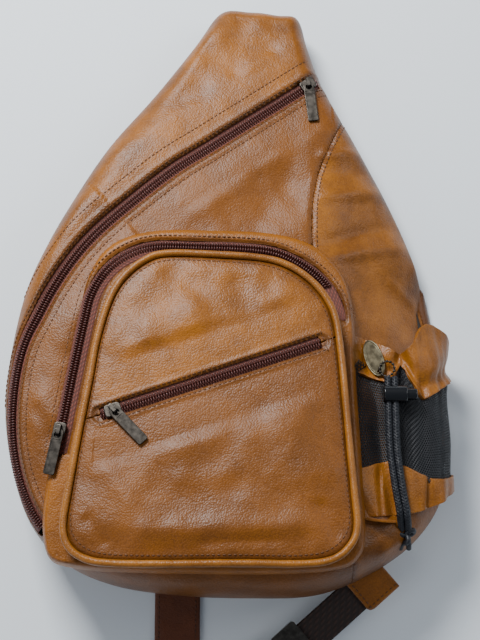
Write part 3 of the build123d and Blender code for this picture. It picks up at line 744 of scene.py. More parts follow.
def along(name, lines, pitch, size, finish):
    """Grains laid along several lines; each line is (points in mm, up vectors). Sizes in metres."""
    tree = repeat_tree()
    points, edges, ups = [], [], []
    for line, up in lines:
        first = len(points)
        points += (np.asarray(line) * MM).tolist()
        ups += np.asarray(up).tolist()
        edges += [(first + k, first + k + 1) for k in range(len(line) - 1)]
    mesh = bpy.data.meshes.new(name)
    mesh.from_pydata(points, edges, [])
    layer = mesh.attributes.new("up", "FLOAT_VECTOR", "POINT")
    layer.data.foreach_set("vector", np.asarray(ups, dtype=np.float32).ravel())
    piece = bpy.data.objects.new(name, mesh)
    bpy.context.scene.collection.objects.link(piece)
    laid = piece.modifiers.new("repeat", "NODES")
    laid.node_group = tree
    values = {"Pitch": pitch, "Size": size, "Material": material(finish)}
    for item in tree.interface.items_tree:
        if item.in_out == "INPUT" and item.name in values:
            laid[item.identifier] = values[item.name]
    apply_modifiers(piece)
    return piece


STITCH_WIDTH = 0.00095
STITCH_HEIGHT = 0.0009


def stitched(name, lines, finish="thread"):
    """Rows of topstitching, slightly sunk into the leather."""
    s = sizes()
    size = (s.stitch_length, STITCH_WIDTH, STITCH_HEIGHT)
    piece = along(name, lines, s.stitch_pitch, size, finish)
    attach(piece, "bag")
    return piece


def offset_line(line, gap):
    """A plan line moved to its left by a distance."""
    tangents = directions(line)
    return line + np.stack([-tangents[:, 1], tangents[:, 0]], axis=1) * np.reshape(gap, (-1, 1))


def keep_piece(piece, nodes, body="bag"):
    """Ties a finished piece to its body and hides the CAD nodes it stands for."""
    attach(piece, body)
    if nodes:
        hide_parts(*nodes)
    return piece


# ---------------------------------------------------------------- body

SPINE = ((18.0, 205.0), (-6.0, -95.0))   # the middle line that the skin's rings close in on
TOP_RINGS = 116
RIM_STEP = 2.6


def paired_outline():
    """The outline from its top end round and back, with as many points on each side of its middle line."""
    line = OUTLINE_LINE[:-1]
    (ax, ay), (bx, by) = SPINE
    along_spine = line @ np.array([bx - ax, by - ay])
    line = np.roll(line, -int(np.argmin(along_spine)), axis=0)
    low = int(np.argmax(line @ np.array([bx - ax, by - ay])))
    first = even(line[:low + 1], RIM_STEP)
    second = np.vstack([line[low:], line[:1]])
    run = run_along(second)
    at = np.linspace(0, run[-1], len(first))
    second = np.stack([np.interp(at, run, second[:, k]) for k in (0, 1)], axis=1)
    return np.vstack([first[:-1], second[:-1]])


RIM = paired_outline()


def top_grid():
    """Points of the bag's upper skin from its outline in to its middle line, and their triangles."""
    (ax, ay), (bx, by) = SPINE
    t = np.clip(((RIM[:, 0] - ax) * (bx - ax) + (RIM[:, 1] - ay) * (by - ay))
                / ((bx - ax) ** 2 + (by - ay) ** 2), 0, 1)
    mirror = np.arange(len(RIM))[::-1]
    t = (t + np.roll(t[mirror], 1)) / 2
    middle = np.stack([ax + (bx - ax) * t, ay + (by - ay) * t], axis=1)
    u = np.linspace(0, 1, TOP_RINGS) ** 1.35
    grid = RIM[None] + (middle - RIM)[None] * u[:, None, None]
    return grid, grid_triangles(TOP_RINGS, len(RIM), closed=True)


def wall_rows(rows=12):
    """Points of the bag's side from its widest line down to its back edge."""
    line = RIM
    closed = np.vstack([line[-1], line, line[0]])
    tangents = closed[2:] - closed[:-2]
    tangents /= np.linalg.norm(tangents, axis=1)[:, None]
    out = np.stack([tangents[:, 1], -tangents[:, 0]], axis=1)
    area = 0.5 * np.sum(line[:, 0] * np.roll(line[:, 1], -1) - np.roll(line[:, 0], -1) * line[:, 1])
    if area < 0:
        out = -out
    top = skin_at(line[:, 0], line[:, 1])
    rows_out = []
    for k in range(rows):
        phi = math.pi / 2 * k / (rows - 1)
        z = top - (top - BACK_Z) * math.sin(phi)
        wobble = 1.2 * soft_noise(line[:, 0] + k * 6, line[:, 1], 34, 4.4) * math.sin(phi * 2)
        shift = -7.0 * (1 - math.cos(phi)) + wobble
        rows_out.append(np.concatenate([line + out * shift[:, None], z[:, None]], axis=1))
    return np.array(rows_out)


class SLING_OT_body(bpy.types.Operator):
    """Builds the leather skin of the main compartment as its cut panels"""
    bl_idname = "sling.body"
    bl_label = "Body panels"

    def execute(self, context):
        wall = sizes().leather_thickness
        grid, triangles = top_grid()
        x, y = grid[..., 0].ravel(), grid[..., 1].ravel()
        z = body_height(x, y)
        points = np.stack([x, y, z], axis=1)
        gap, side, _ = near(x, y, MAIN_LINE)
        inside, _, _ = near(x, y, OUTLINE_LINE)
        # Painted shade: darker beside the main zip's slot, where the top rounds down to the outline, and
        # along the side seam.
        shade = np.exp(-((gap - SLOT_HALF) / 5) ** 2) * 0.5 + 0.35 * np.exp(-inside / 9)
        seam = x - seam_x(y)
        shade = shade + 0.35 * np.exp(-(seam / 3.0) ** 2) * (y < 172)
        off_x, off_y = x - MAIN_LINE[0, 0], y - MAIN_LINE[0, 1]
        beyond = off_x * MAIN_START[0] + off_y * MAIN_START[1]
        over = off_y * MAIN_START[0] - off_x * MAIN_START[1]
        open_gap = np.where(beyond > 0, np.abs(over), gap)
        above = np.where(beyond > 0, over, -side * gap)
        slot_field = open_gap - np.where(beyond > 0, 0.4, SLOT_HALF)
        upper_field = np.where(above > 0, slot_field, -np.abs(slot_field) - 0.1)
        lower_field = np.where(above > 0, -np.abs(slot_field) - 0.1, slot_field)
        front_field = np.where(above > 0, -1.0, np.minimum(lower_field, -seam - 0.12))
        side_field = np.where(above > 0, -1.0, np.minimum(lower_field, seam - 0.12))
        rows = [("upper_front_panel", upper_field, "leather"), ("main_front_panel", front_field, "lower"),
                ("side_panel_right", side_field, "side")]
        for name, field, finish in rows:
            pts, tris, tone = clip(points, triangles, field, shade)
            piece = make_piece(name + "_leather", pts, tris, material(finish), shade=tone)
            face_up(piece)
            thicken(piece, wall)
            keep_piece(piece, [name])
        self.walls(wall)
        return {"FINISHED"}

    def walls(self, wall):
        """Gussets round the side, with the back panel that closes them and the lining inside."""
        rows = wall_rows()
        line = rows[0]
        x, y = line[:, 0], line[:, 1]
        bottom = (y < -146) & (np.abs(x) < 108)
        left = ~bottom & (x < 10) & (y < 258)
        names = np.where(bottom, 1, np.where(left, 0, 2))
        count = len(line)
        gussets = [("gusset_left", "leather"), ("gusset_bottom", "lower"), ("gusset_right", "side")]
        for k, (name, finish) in enumerate(gussets):
            quads = []
            for r in range(len(rows) - 1):
                for c in range(count):
                    if names[c] == k:
                        d = (c + 1) % count
                        quads.append((r * count + c, (r + 1) * count + c, (r + 1) * count + d, r * count + d))
            used = sorted({i for q in quads for i in q})
            new = {old: i for i, old in enumerate(used)}
            flat = rows.reshape(-1, 3)[used]
            faces = [tuple(new[i] for i in q) for q in quads]
            # Painted shade: the gussets are darkened all over, and more towards the floor.
            tone = 0.25 + 0.6 * np.clip((30 - flat[:, 2]) / 25, 0, 1)
            piece = make_piece(name + "_leather", flat, faces, material(finish), shade=tone)
            turn_out(piece, (0, 20, 20))
            thicken(piece, wall)
            keep_piece(piece, [name])
        self.back(rows[-1], wall)
        self.lining()

    def back(self, edge, wall):
        """The flat back panel, closed in from the foot of the gussets."""
        rings = [edge[:, :2] * (1 - u) for u in np.linspace(0, 1, 30)[:-1]]
        flat = [np.column_stack([ring, BACK_Z + 0.4 * soft_noise(ring[:, 0], ring[:, 1], 30, 2.2)])
                for ring in rings]
        faces = grid_quads(len(flat), len(edge), closed=True)
        piece = make_piece("back_panel_leather", np.vstack(flat), faces, material("pad"))
        face_up(piece)
        piece.data.flip_normals()
        thicken(piece, wall)
        keep_piece(piece, ["back_panel"])

    def lining(self):
        """The bag's cloth lining, a closed shell a little inside the leather."""
        grid = top_grid()[0][:, ::2][::3]
        x, y = grid[..., 0].ravel(), grid[..., 1].ravel()
        inner = (np.stack([x, y], axis=1) - np.array([0, 10])) * 0.935 + np.array([0, 10])
        here = skin_at(inner[:, 0], inner[:, 1]) - 6.0
        z = np.maximum(np.minimum(skin_at(x, y) - 7.5, here), 13.0)
        count = grid.shape[1]
        low = np.column_stack([inner[:count], np.full(count, 12.5)])
        pts = np.vstack([low, np.column_stack([inner, z])])
        quads = grid_quads(grid.shape[0] + 1, count, closed=True)
        quads.append(tuple(range(count)))
        piece = make_piece("lining_cloth", pts, quads, material("lining"))
        outward(piece)
        keep_piece(piece, ["lining"])


# ---------------------------------------------------------------- front pocket

POCKET_CENTRE = np.array([-20.0, -62.0])
LEDGE = [
    (-112, -176), (-132, -170), (-137, -150), (-135, -110), (-129, -64), (-122, -22), (-117, 10), (-112, 34),
    (-102, 53), (-86, 65), (-60, 71), (-20, 71), (20, 69), (48, 62), (68, 48), (80, 28), (84, 0),
    (84, -40), (86, -100), (87, -150), (82, -168), (68, -176), (30, -179), (-30, -179), (-80, -178),
]
LEDGE_LINE = smooth_line(LEDGE, 2.0, closed=True)
LEDGE_TOP = 8.2              # height of the ledge over the front
LEDGE_ROUND = 5.5            # radius over which it folds
LEDGE_SLOT = (4.0, 7.8)      # half widths of its slot, outside and inside the zip's middle
FACE_SLOT = 4.6              # half width of the slot for the slanting zip


def radial(line, count):
    """A closed plan line resampled at even angles round the pocket's centre."""
    rel = line - POCKET_CENTRE
    angle = np.unwrap(np.arctan2(rel[:, 1], rel[:, 0]))
    reach = np.linalg.norm(rel, axis=1)
    angle = np.mod(angle, 2 * np.pi)
    order = np.argsort(angle)
    at = np.linspace(0, 2 * np.pi, count, endpoint=False)
    far = np.interp(at, angle[order], reach[order], period=2 * np.pi)
    return POCKET_CENTRE + np.stack([np.cos(at), np.sin(at)], axis=1) * far[:, None]


class SLING_OT_pocket(bpy.types.Operator):
    """Builds the front pocket: zipped ledge, gusset, piping and the two leather faces"""
    bl_idname = "sling.pocket"
    bl_label = "Front pocket"

    def execute(self, context):
        self.ledge()
        self.gusset()
        self.piping()
        self.faces()
        return {"FINISHED"}

    def ledge(self):
        """The lower gusset: it leaves the front, folds over and carries the pocket's zip."""
        count = 560
        outer = radial(LEDGE_LINE, count)
        inner = radial(PIPING_LINE, count)
        rows = []
        for k, u in enumerate(np.linspace(0, 1, 34)):
            plan = outer + (inner - outer) * u
            x, y = plan[:, 0], plan[:, 1]
            out, _, _ = near(x, y, LEDGE_LINE)
            if k == 0:
                out = 0 * out
            base = np.maximum(skin_at(x, y), front_height(y) - 26)
            top = front_height(y) + LEDGE_TOP
            lift = np.sqrt(np.clip(1 - (1 - np.clip(out / LEDGE_ROUND, 0, 1)) ** 2, 0, 1))
            z = base - 1.0 + (top - base + 1.0) * lift + 0.5 * soft_noise(x, y, 22, 6.6) * lift
            rows.append(np.column_stack([plan, z]))
        pts = np.vstack(rows)
        x, y = pts[:, 0], pts[:, 1]
        gap, side, share = near(x, y, POCKET_LINE)
        ends = (share <= 0.0005) | (share >= 0.9995)
        narrow = np.sqrt(np.clip((1 - share) / 0.05, 0, 1))
        field = gap - np.where(side > 0, *LEDGE_SLOT) * narrow
        field = np.where(ends, np.maximum(field, gap - LEDGE_SLOT[0] * narrow), field)
        edge = np.clip(field, 0, None)
        pts[:, 2] -= 1.3 * np.exp(-(edge / 1.4) ** 2)
        # Painted shade beside the slot of the pocket's zip.
        shade = 0.45 * np.exp(-(edge / 3) ** 2)
        cut, tris, tone = clip(pts, grid_triangles(34, count, closed=True), field, shade)
        piece = make_piece("pocket_zip_gusset_leather", cut, tris, material("leather"), shade=tone)
        face_up(piece)
        thicken(piece, sizes().leather_thickness)
        keep_piece(piece, ["pocket_zip_gusset"])

    def gusset(self):
        """The upper gusset, a band of leather from the zip up to the piping."""
        line = even(np.vstack([PIPING_LINE, PIPING_LINE[:1]]), 2.0)
        tangents = directions(line)
        area = 0.5 * np.sum(line[:-1, 0] * line[1:, 1] - line[1:, 0] * line[:-1, 1])
        out = np.stack([tangents[:, 1], -tangents[:, 0]], axis=1) * (1 if area > 0 else -1)
        rows = []
        for u in np.linspace(0, 1, 12):
            low = front_height(line[:, 1]) + 5.6
            high = pocket_base(line[:, 1]) - 0.5
            z = low + (high - low) * u
            unevenness = 0.6 * soft_noise(line[:, 0], line[:, 1] + 30 * u, 20, 8.8)
            bulge = 1.0 + 2.0 * math.sin(math.pi * u) + unevenness
            plan = line + out * np.asarray(bulge)[:, None]
            rows.append(np.column_stack([plan[:-1], z[:-1]]))
        pts = np.vstack(rows)
        # Painted shade, darkest at the gusset's foot and fading up to the piping.
        tone = np.repeat(0.5 - 0.5 * np.linspace(0, 1, 12), len(line) - 1)
        piece = make_piece("pocket_gusset_leather", pts, grid_quads(12, len(line) - 1, closed=True),
                           material("lower"), shade=tone)
        turn_out(piece, (POCKET_CENTRE[0], POCKET_CENTRE[1], 80.0))
        thicken(piece, sizes().leather_thickness)
        keep_piece(piece, ["pocket_gusset"])

    def piping(self):
        """A cord covered in leather, sewn round the edge of the pocket's face, with its seam flange."""
        line = PIPING_LINE[:-1]
        z = pocket_base(line[:, 1]) + 0.35 * soft_noise(line[:, 0], line[:, 1], 30, 2.7)
        radius = sizes().piping_radius / MM
        wave = 1 + 0.05 * soft_noise(line[:, 0], line[:, 1], 6, 5.1)
        pts, quads = tube(np.column_stack([line, z]), radius * wave, 16, closed=True)
        piece = make_piece("pocket_piping_leather", pts, quads, material("piping"))
        outward(piece)
        keep_piece(piece, ["pocket_piping"])

    def faces(self):
        """The pocket's face, cut in two by its slanting zip."""
        count = 460
        outer = radial(PIPING_LINE, count)
        rings = 92
        plan = np.vstack([outer + (POCKET_CENTRE - outer) * (u + 0.012 * (1 - u))
                          for u in np.linspace(0, 1, rings) ** 1.2])
        x, y = plan[:, 0], plan[:, 1]
        gap, _, _ = near(x, y, SLANT_LINE)
        pts = np.column_stack([x, y, pocket_height(x, y)])
        inside, _, _ = near(x, y, PIPING_LINE)
        # Painted shade round the piping and beside the slanting zip's slot.
        shade = 0.45 * np.exp(-(inside / 6) ** 2) + 0.4 * np.exp(-((gap - FACE_SLOT) / 3) ** 2)
        ax, ay = SLANT_LINE[0]
        bx, by = SLANT_LINE[-1]
        long = math.hypot(bx - ax, by - ay)
        height = ((bx - ax) * (y - ay) - (by - ay) * (x - ax)) / long
        share = ((x - ax) * (bx - ax) + (y - ay) * (by - ay)) / long ** 2
        beyond = (share < 0) | (share > 1)
        cut_gap = np.where(beyond, np.maximum(np.abs(height) - 0.5, -1), gap - FACE_SLOT)
        tris = grid_triangles(rings, count, closed=True)
        for name, sign, finish in [("pocket_face_upper", 1, "leather"), ("pocket_face_lower", -1, "lower")]:
            field = np.where(height * sign > 0, cut_gap, -np.abs(cut_gap) - 0.05)
            cut, faces, tone = clip(pts, tris, field, shade)
            piece = make_piece(name + "_leather", cut, faces, material(finish), shade=tone)
            face_up(piece)
            thicken(piece, sizes().leather_thickness)
            keep_piece(piece, [name])


# ---------------------------------------------------------------- zips

TAPE_THICKNESS = 0.0007
POCKET_COIL_HIDDEN = 14      # points at the right end of the pocket's zip that run in under the leather
COIL_LOOP = (0.0015, 0.0036, 0.0026)     # length, width and height of one loop of a coil


def main_zip_height(x, y, share):
    """Height of the middle of the main coil: flat where its slider runs, then round the shoulder."""
    flat = front_height(y) - 1.1
    round_it = np.maximum(step_up(share, 0.38, 0.6), step_up(-share, -0.02, -0.004))
    return flat + (np.minimum(skin_at(x, y) - 1.6, flat) - flat) * round_it


TAPE_LIFT = [-2.9, -2.4, -1.7, -1.5, -1.5, -1.5, -1.5, -1.7, -2.4, -2.9]
POCKET_LIFT = [-1.2, -1.1, -1.0, -1.0, -1.2, -1.2, -1.0, -1.0, -3.0, -7.5]


def tape_profile(name, half):
    """Offsets of a tape's rows from its middle, and their heights against the coil's."""
    inner = [-half, -half * 0.7, -4.6, -3.2, -0.5, 0.5, 3.2]
    if name == "pocket":
        return inner + [4.2, 4.9, 5.3], POCKET_LIFT
    return inner + [4.6, half * 0.7, half], TAPE_LIFT


def tape_row(name, line, gap, z):
    """One row of a tape: it stays inside the outline, and the pocket's tape narrows at its hidden end."""
    if name == "pocket":
        hidden_end = np.clip(np.arange(len(line))[::-1] / 12, 0, 1)
        plan = offset_line(line, gap * (0.45 + 0.55 * hidden_end))
    elif gap < 0:
        room, _, _ = near(line[:, 0], line[:, 1], OUTLINE_LINE)
        plan = offset_line(line, -np.minimum(-gap, np.maximum(room - 1.5, 3.4)))
    else:
        plan = offset_line(line, gap)
    if name == "main":
        under = skin_at(plan[:, 0], plan[:, 1]) - 2.4
        z = under if abs(gap) > 4 else np.minimum(z, under)
    return np.column_stack([plan, z])


def tape_strip(name, line, height, half):
    """A zip's tape along its plan line, with its own UV in metres."""
    gaps, lift = tape_profile(name, half)
    pts = np.vstack([tape_row(name, line, gap, height + low) for gap, low in zip(gaps, lift)])
    count = len(line)
    piece = make_piece(name + "_zip_tape_cloth", pts, grid_quads(len(gaps), count), material("tape"))
    run = run_along(line) * MM
    layer = piece.data.uv_layers.new(name="UVMap")
    corner = np.zeros(len(piece.data.loops), dtype=np.int32)
    piece.data.loops.foreach_get("vertex_index", corner)
    across = np.asarray(gaps)[corner // count] * MM
    layer.data.foreach_set("uv", np.column_stack([across, run[corner % count]]).astype(np.float32).ravel())
    reworked(piece, recalculate=False, away=lambda face: face.normal.z)
    return piece


def coil_lines(line, height, gap):
    """Two rows of loops beside each other, the second half a pitch later."""
    rows = []
    pitch = sizes().tooth_pitch / MM
    for side, late in [(-gap, 0.0), (gap, pitch / 2)]:
        plan = offset_line(line, side)
        run = run_along(plan)
        at = np.linspace(late, run[-1] - pitch + late, len(plan))
        xs = [np.interp(at, run, v) for v in (plan[:, 0], plan[:, 1], height)]
        up = np.tile([0.0, 0.0, 1.0], (len(plan), 1))
        rows.append((np.column_stack(xs), up))
    return rows


class SLING_OT_zips(bpy.types.Operator):
    """Builds the tapes and the nylon coils of the three zips"""
    bl_idname = "sling.zips"
    bl_label = "Zips"

    def execute(self, context):
        _, _, share = near(MAIN_LINE[:, 0], MAIN_LINE[:, 1], MAIN_LINE)
        main_z = main_zip_height(MAIN_LINE[:, 0], MAIN_LINE[:, 1], share)
        pocket_z = front_height(POCKET_LINE[:, 1]) + 7.0
        slant_z = pocket_base(SLANT_LINE[:, 1]) - 0.8
        rows = [("main", MAIN_LINE, main_z, 8.6), ("pocket", POCKET_LINE, pocket_z, 9.0),
                ("slant", SLANT_LINE, slant_z, 8.4)]
        for name, line, height, half in rows:
            tape = tape_strip(name, line, height, half)
            thicken(tape, TAPE_THICKNESS)
            keep_piece(tape, [name + "_zip_tape"])
            shown = len(line) - (POCKET_COIL_HIDDEN if name == "pocket" else 0)
            loops = coil_lines(line[:shown], height[:shown], 1.45)
            coil = along(name + "_zip_coil_teeth", loops, sizes().tooth_pitch, COIL_LOOP, "coil")
            keep_piece(coil, [name + "_zip_coil"])
        return {"FINISHED"}


# ---------------------------------------------------------------- topstitching

class SLING_OT_stitches(bpy.types.Operator):
    """Sews the topstitching beside the zips, the seams and the piping"""
    bl_idname = "sling.stitches"
    bl_label = "Topstitching"

    def execute(self, context):
        count = len(MAIN_LINE)
        first = MAIN_LINE[:int(count * 0.62)]
        rows = [frames_on(body_height, offset_line(MAIN_LINE, -SLOT_HALF - 2.2), 0.15),
                frames_on(body_height, offset_line(MAIN_LINE, SLOT_HALF + 1.8), 0.15),
                frames_on(body_height, offset_line(MAIN_LINE, SLOT_HALF + 6.8), 0.15),
                frames_on(body_height, offset_line(first, -SLOT_HALF - 13.0), 0.15)]
        stitched("main_zip_stitches", self.inside(rows))
        outer = POCKET_LINE
        ledge = np.column_stack([offset_line(outer, 7.6), front_height(offset_line(outer, 7.6)[:, 1]) + 8.4])
        up = np.tile([0.0, 0.0, 1.0], (len(ledge), 1))
        stitched("pocket_zip_stitches", [(ledge, up)])
        near_zip = [frames_on(pocket_height, offset_line(SLANT_LINE, 6.6), 0.15),
                    frames_on(pocket_height, offset_line(SLANT_LINE, -6.6), 0.15)]
        bars = []
        for end in (0, -1):
            middle = SLANT_LINE[end] + (SLANT_LINE[end] - SLANT_LINE[len(SLANT_LINE) // 2]) * 0.03
            tangent = SLANT_LINE[-1] - SLANT_LINE[0]
            normal = np.array([-tangent[1], tangent[0]]) / np.linalg.norm(tangent)
            bar = np.array([middle + normal * k for k in np.linspace(-6.6, 6.6, 8)])
            bars.append(frames_on(pocket_height, bar, 0.2))
        stitched("slant_zip_stitches", near_zip + bars)
        inner = smooth_line([tuple(p) for p in POCKET_CENTRE + (PIPING_LINE[:-1:6] - POCKET_CENTRE) * 0.95],
                            2.0, closed=True)
        stitched("pocket_edge_stitches", [frames_on(pocket_height, inner, 0.1)])
        seam = SEAM_LINE[(SEAM_LINE[:, 1] < 166) & (SEAM_LINE[:, 1] > 40)]
        side = [frames_on(body_height, seam + np.array([3.6, 1.0]), 0.12)]
        stitched("side_seam_stitches", self.inside(side))
        return {"FINISHED"}

    def inside(self, rows):
        """Cuts stitch rows off where they would leave the skin."""
        kept = []
        for line, up in rows:
            inner, _, _ = near(line[:, 0], line[:, 1], OUTLINE_LINE)
            rel = bag_contains(line[:, 0], line[:, 1])
            good = rel & (inner > 2.0)
            runs = np.flatnonzero(good)
            if len(runs) > 4:
                a, b = runs[0], runs[-1] + 1
                kept.append((line[a:b], up[a:b]))
        return kept


def bag_contains(x, y):
    """Which plan points lie inside the bag's outline."""
    line = OUTLINE_LINE
    inside = np.zeros(len(x), dtype=bool)
    for (x0, y0), (x1, y1) in zip(line[:-1], line[1:]):
        cross = (y0 > y) != (y1 > y)
        with np.errstate(divide="ignore", invalid="ignore"):
            at = (x1 - x0) * (y - y0) / (y1 - y0) + x0
        inside ^= cross & (x < at)
    return inside


# ---------------------------------------------------------------- bottle pocket

WALL_X, WALL_Z = 118.0, 32.0  # the axis that the bottle pocket's wall is round
WALL_RADIUS = 38.0
THETA_LOW = math.radians(-33)
THETA_HIGH = math.radians(152)
NET_HOLE = 0.58              # width of the net's holes as a share of its cells


def on_pocket(s, theta, radius):
    """Points on the bottle pocket's round wall, in mm; theta turns from +X towards +Z."""
    x = WALL_X + radius * np.cos(theta)
    z = WALL_Z + 0.05 * s + radius * np.sin(theta)
    climb = step_up(theta, math.radians(134), THETA_HIGH)
    wall = 74.5 + 0.10 * s
    x = x - 4.5 * climb
    y = -s * 0.99875
    z = z + (wall - z) * climb
    cover = np.minimum(body_height(x, y), 80.0) + 3.2 + (radius - WALL_RADIUS)
    over_skin = step_up(theta, math.radians(88), math.radians(112))
    lifted = 0.5 * (z + cover + np.sqrt((z - cover) ** 2 + 4.0))
    return np.stack([x, y, z + (lifted - z) * over_skin], axis=-1)


def gathered(s, theta):
    """Radius of the bottle pocket: wide at its base, drawn in under the cuff, with gathers that fade."""
    gather = cuff_low(theta) - 9
    draw = np.exp(-((s - gather) / 6.5) ** 2)
    flare = step_up(s, gather + 2, gather + 9) * np.exp(-(np.clip(s - gather - 9, 0, None) / 7) ** 2)
    mouth = step_up(-s, -26, -4)
    waves = np.sin(theta * 15 + 0.9 * np.sin(theta * 5)) + 0.5 * np.sin(theta * 29 + 1.3)
    base = WALL_RADIUS - 2.8 * draw + 1.6 * flare + 1.8 * mouth * np.sin(theta * 5 + 0.4)
    belly = 1.8 * np.exp(-((s - 84) / 20) ** 2) * np.sin(theta * 2.2 + 0.6)
    right_lobe = 3.4 * np.exp(-((theta - 1.02) / 0.34) ** 2) * np.exp(-((s - 32) / 17) ** 2)
    left_lobe = 1.6 * np.exp(-((theta - 2.0) / 0.22) ** 2) * np.exp(-((s - 26) / 12) ** 2)
    pinch = 6.0 * np.exp(-((theta - 1.61) / 0.10) ** 2) * np.exp(-((s - 38) / 16) ** 2)
    return base + belly + right_lobe + left_lobe - pinch + waves * (0.5 * draw + 0.6 * flare + 0.2)


def pocket_wall(start, end, rows, columns, radius_shift=0.0, shape=gathered):
    """Grid of points of a length of the bottle pocket's wall."""
    theta = np.linspace(THETA_LOW, THETA_HIGH, columns)
    grid = []
    for k in range(rows):
        u = k / (rows - 1)
        s = start(theta) + (end(theta) - start(theta)) * u
        grid.append(on_pocket(s, theta, shape(s, theta) + radius_shift))
    return np.array(grid).reshape(-1, 3)


TURNS = np.radians([-33, -5, 15, 30, 45, 60, 75, 90, 110, 130, 152])
CUFF_TURNS = np.radians([-33, 0, 30, 48, 60, 68, 74, 80, 88, 93, 97, 104, 118, 134, 152])


def cuff_top(theta):
    """Wavy mouth line of the cuff, dipping where its two lobes meet."""
    return np.interp(theta, CUFF_TURNS, [18, 13, 4, 0, 0, 3, 9, 16, 21, 23, 22, 19, 15, 11, 8])


def cuff_low(theta):
    """Line where the cuff is gathered over the net: two lobes with a pinched notch between them."""
    return np.interp(theta, CUFF_TURNS, [37, 38, 43, 49, 53, 56, 53, 46, 35, 31, 36, 45, 42, 38, 35])


def net_low(theta):
    """Line where the net meets the leather pouch."""
    return np.interp(theta, TURNS, [106, 108, 110, 112, 113, 113, 110, 105, 101, 104, 108])


def pouch_low(theta):
    """Lower edge of the leather pouch's wall."""
    return np.interp(theta, TURNS, [118, 119, 122, 125, 129, 133, 136, 138, 139, 140, 140])


class SLING_OT_bottle_pocket(bpy.types.Operator):
    """Builds the bottle pocket: gathered cuff, net and leather pouch"""
    bl_idname = "sling.bottle_pocket"
    bl_label = "Bottle pocket"

    def execute(self, context):
        wall = sizes().leather_thickness
        cuff = pocket_wall(cuff_top, cuff_low, 26, 220, 0.6)
        piece = make_piece("bottle_pocket_cuff_leather", cuff, grid_quads(26, 220), material("side"))
        turn_out(piece, (WALL_X, -25, 25))
        thicken(piece, 0.0026, -1.0, 0.0006)
        keep_piece(piece, ["bottle_pocket_cuff"])
        pouch = pocket_wall(net_low, pouch_low, 22, 160, 0.4, self.pouch_shape)
        piece = make_piece("bottle_pocket_pouch_leather", np.vstack([pouch, self.floor(160)]),
                           grid_quads(22 + 8, 160), material("side"))
        turn_out(piece, (WALL_X, -110, 25))
        thicken(piece, wall, -1.0, 0.0004)
        keep_piece(piece, ["bottle_pocket_pouch"])
        self.net()
        self.shade_sheet()
        return {"FINISHED"}

    def shade_sheet(self):
        """A black sheet of painted shade inside the pocket, lying on the side panel under the net."""
        theta = np.linspace(math.radians(-20), math.radians(112), 60)
        rows = []
        for u in np.linspace(0, 1, 30):
            s = 26 + 84 * u
            x = WALL_X + (WALL_RADIUS - 2) * np.cos(theta)
            y = np.full(60, -s)
            z = np.maximum(body_height(x, y) + 1.2, 13.5)
            rows.append(np.column_stack([x, y, z]))
        piece = make_piece("bottle_pocket_shade_sheet", np.vstack(rows), grid_quads(30, 60),
                           material("pocket shade"))
        face_up(piece)
        thicken(piece, 0.0005, 1.0)
        keep_piece(piece, [])

    def pouch_shape(self, s, theta):
        """Radius of the leather pouch, with soft pleats towards its base."""
        low = step_up(s, 104, 138)
        waves = np.sin(theta * 9 + 0.6) + 0.6 * np.sin(theta * 15 + 2.0)
        pleat = 2.6 * np.exp(-((theta - 2.12) / 0.07) ** 2) + 2.2 * np.exp(-((theta - 1.12) / 0.06) ** 2)
        return WALL_RADIUS + 0.4 - 2.2 * low ** 3 + waves * (0.4 + 1.0 * low) - pleat * step_up(s, 100, 112)

    def floor(self, columns):
        """Rows of the pouch's base, drawn in to its middle."""
        theta = np.linspace(THETA_LOW, THETA_HIGH, columns)
        rows = []
        low = pouch_low(theta)
        for u in np.linspace(0, 1, 9)[1:]:
            s = low + 2.5 * math.sin(math.pi / 2 * u)
            radius = (self.pouch_shape(low, theta) + 0.4) * (1 - 0.8 * u)
            rows.append(on_pocket(s, theta, radius))
        return np.array(rows).reshape(-1, 3)

    def net(self):
        """A knitted net with six-sided holes, each side of a hole a thin thread."""
        columns, rows, hole = sizes().net_columns, sizes().net_rows, NET_HOLE
        corners = np.array([(-0.5, -0.17), (0.0, -0.5), (0.5, -0.17), (0.5, 0.17), (0.0, 0.5), (-0.5, 0.17)])
        corners[:, 1] *= 1.335
        r, c = np.meshgrid(np.arange(rows), np.arange(columns), indexing="ij")
        middle = np.stack([c + 0.5 + 0.5 * (r % 2), r + 0.5], axis=-1).reshape(-1, 1, 2)
        middle = middle[middle[:, 0, 0] <= columns]
        rings = np.concatenate([middle + corners, middle + corners * hole], axis=1)
        points = self.net_place(rings[..., 0] / columns, rings[..., 1] / rows).reshape(-1, 3)
        faces = [(12 * n + k, 12 * n + (k + 1) % 6, 12 * n + 6 + (k + 1) % 6, 12 * n + 6 + k)
                 for n in range(len(middle)) for k in range(6)]
        piece = make_piece("bottle_pocket_mesh_net", points, faces, material("net"))
        reworked(piece, 0.0002)
        thicken(piece, 0.00028, 0.0)
        keep_piece(piece, ["bottle_pocket_mesh"])
        share = np.linspace(0, 1, 200)
        width = self.reach(self.net_place(share, np.full(200, 0.5)))
        length = np.mean([self.reach(self.net_place(np.full(200, u), share)) for u in np.linspace(0, 1, 15)])

    def net_place(self, across, down):
        """Points of the net from its share across the pocket and down it."""
        theta = THETA_LOW + (THETA_HIGH - THETA_LOW) * np.clip(across, 0, 1)
        share = np.clip(down, 0, 1)
        top = cuff_low(theta) - 7
        s = top + (net_low(theta) + 4 - top) * share
        sunk = 1.6 + 2.4 * np.exp(-(share / 0.12) ** 2)
        return on_pocket(s, theta, gathered(s, theta) - sunk)

    def reach(self, line):
        """Length of a line of points in mm, given in metres."""
        return float(np.linalg.norm(np.diff(line, axis=0), axis=1).sum()) * MM


# ---------------------------------------------------------------- drawcord

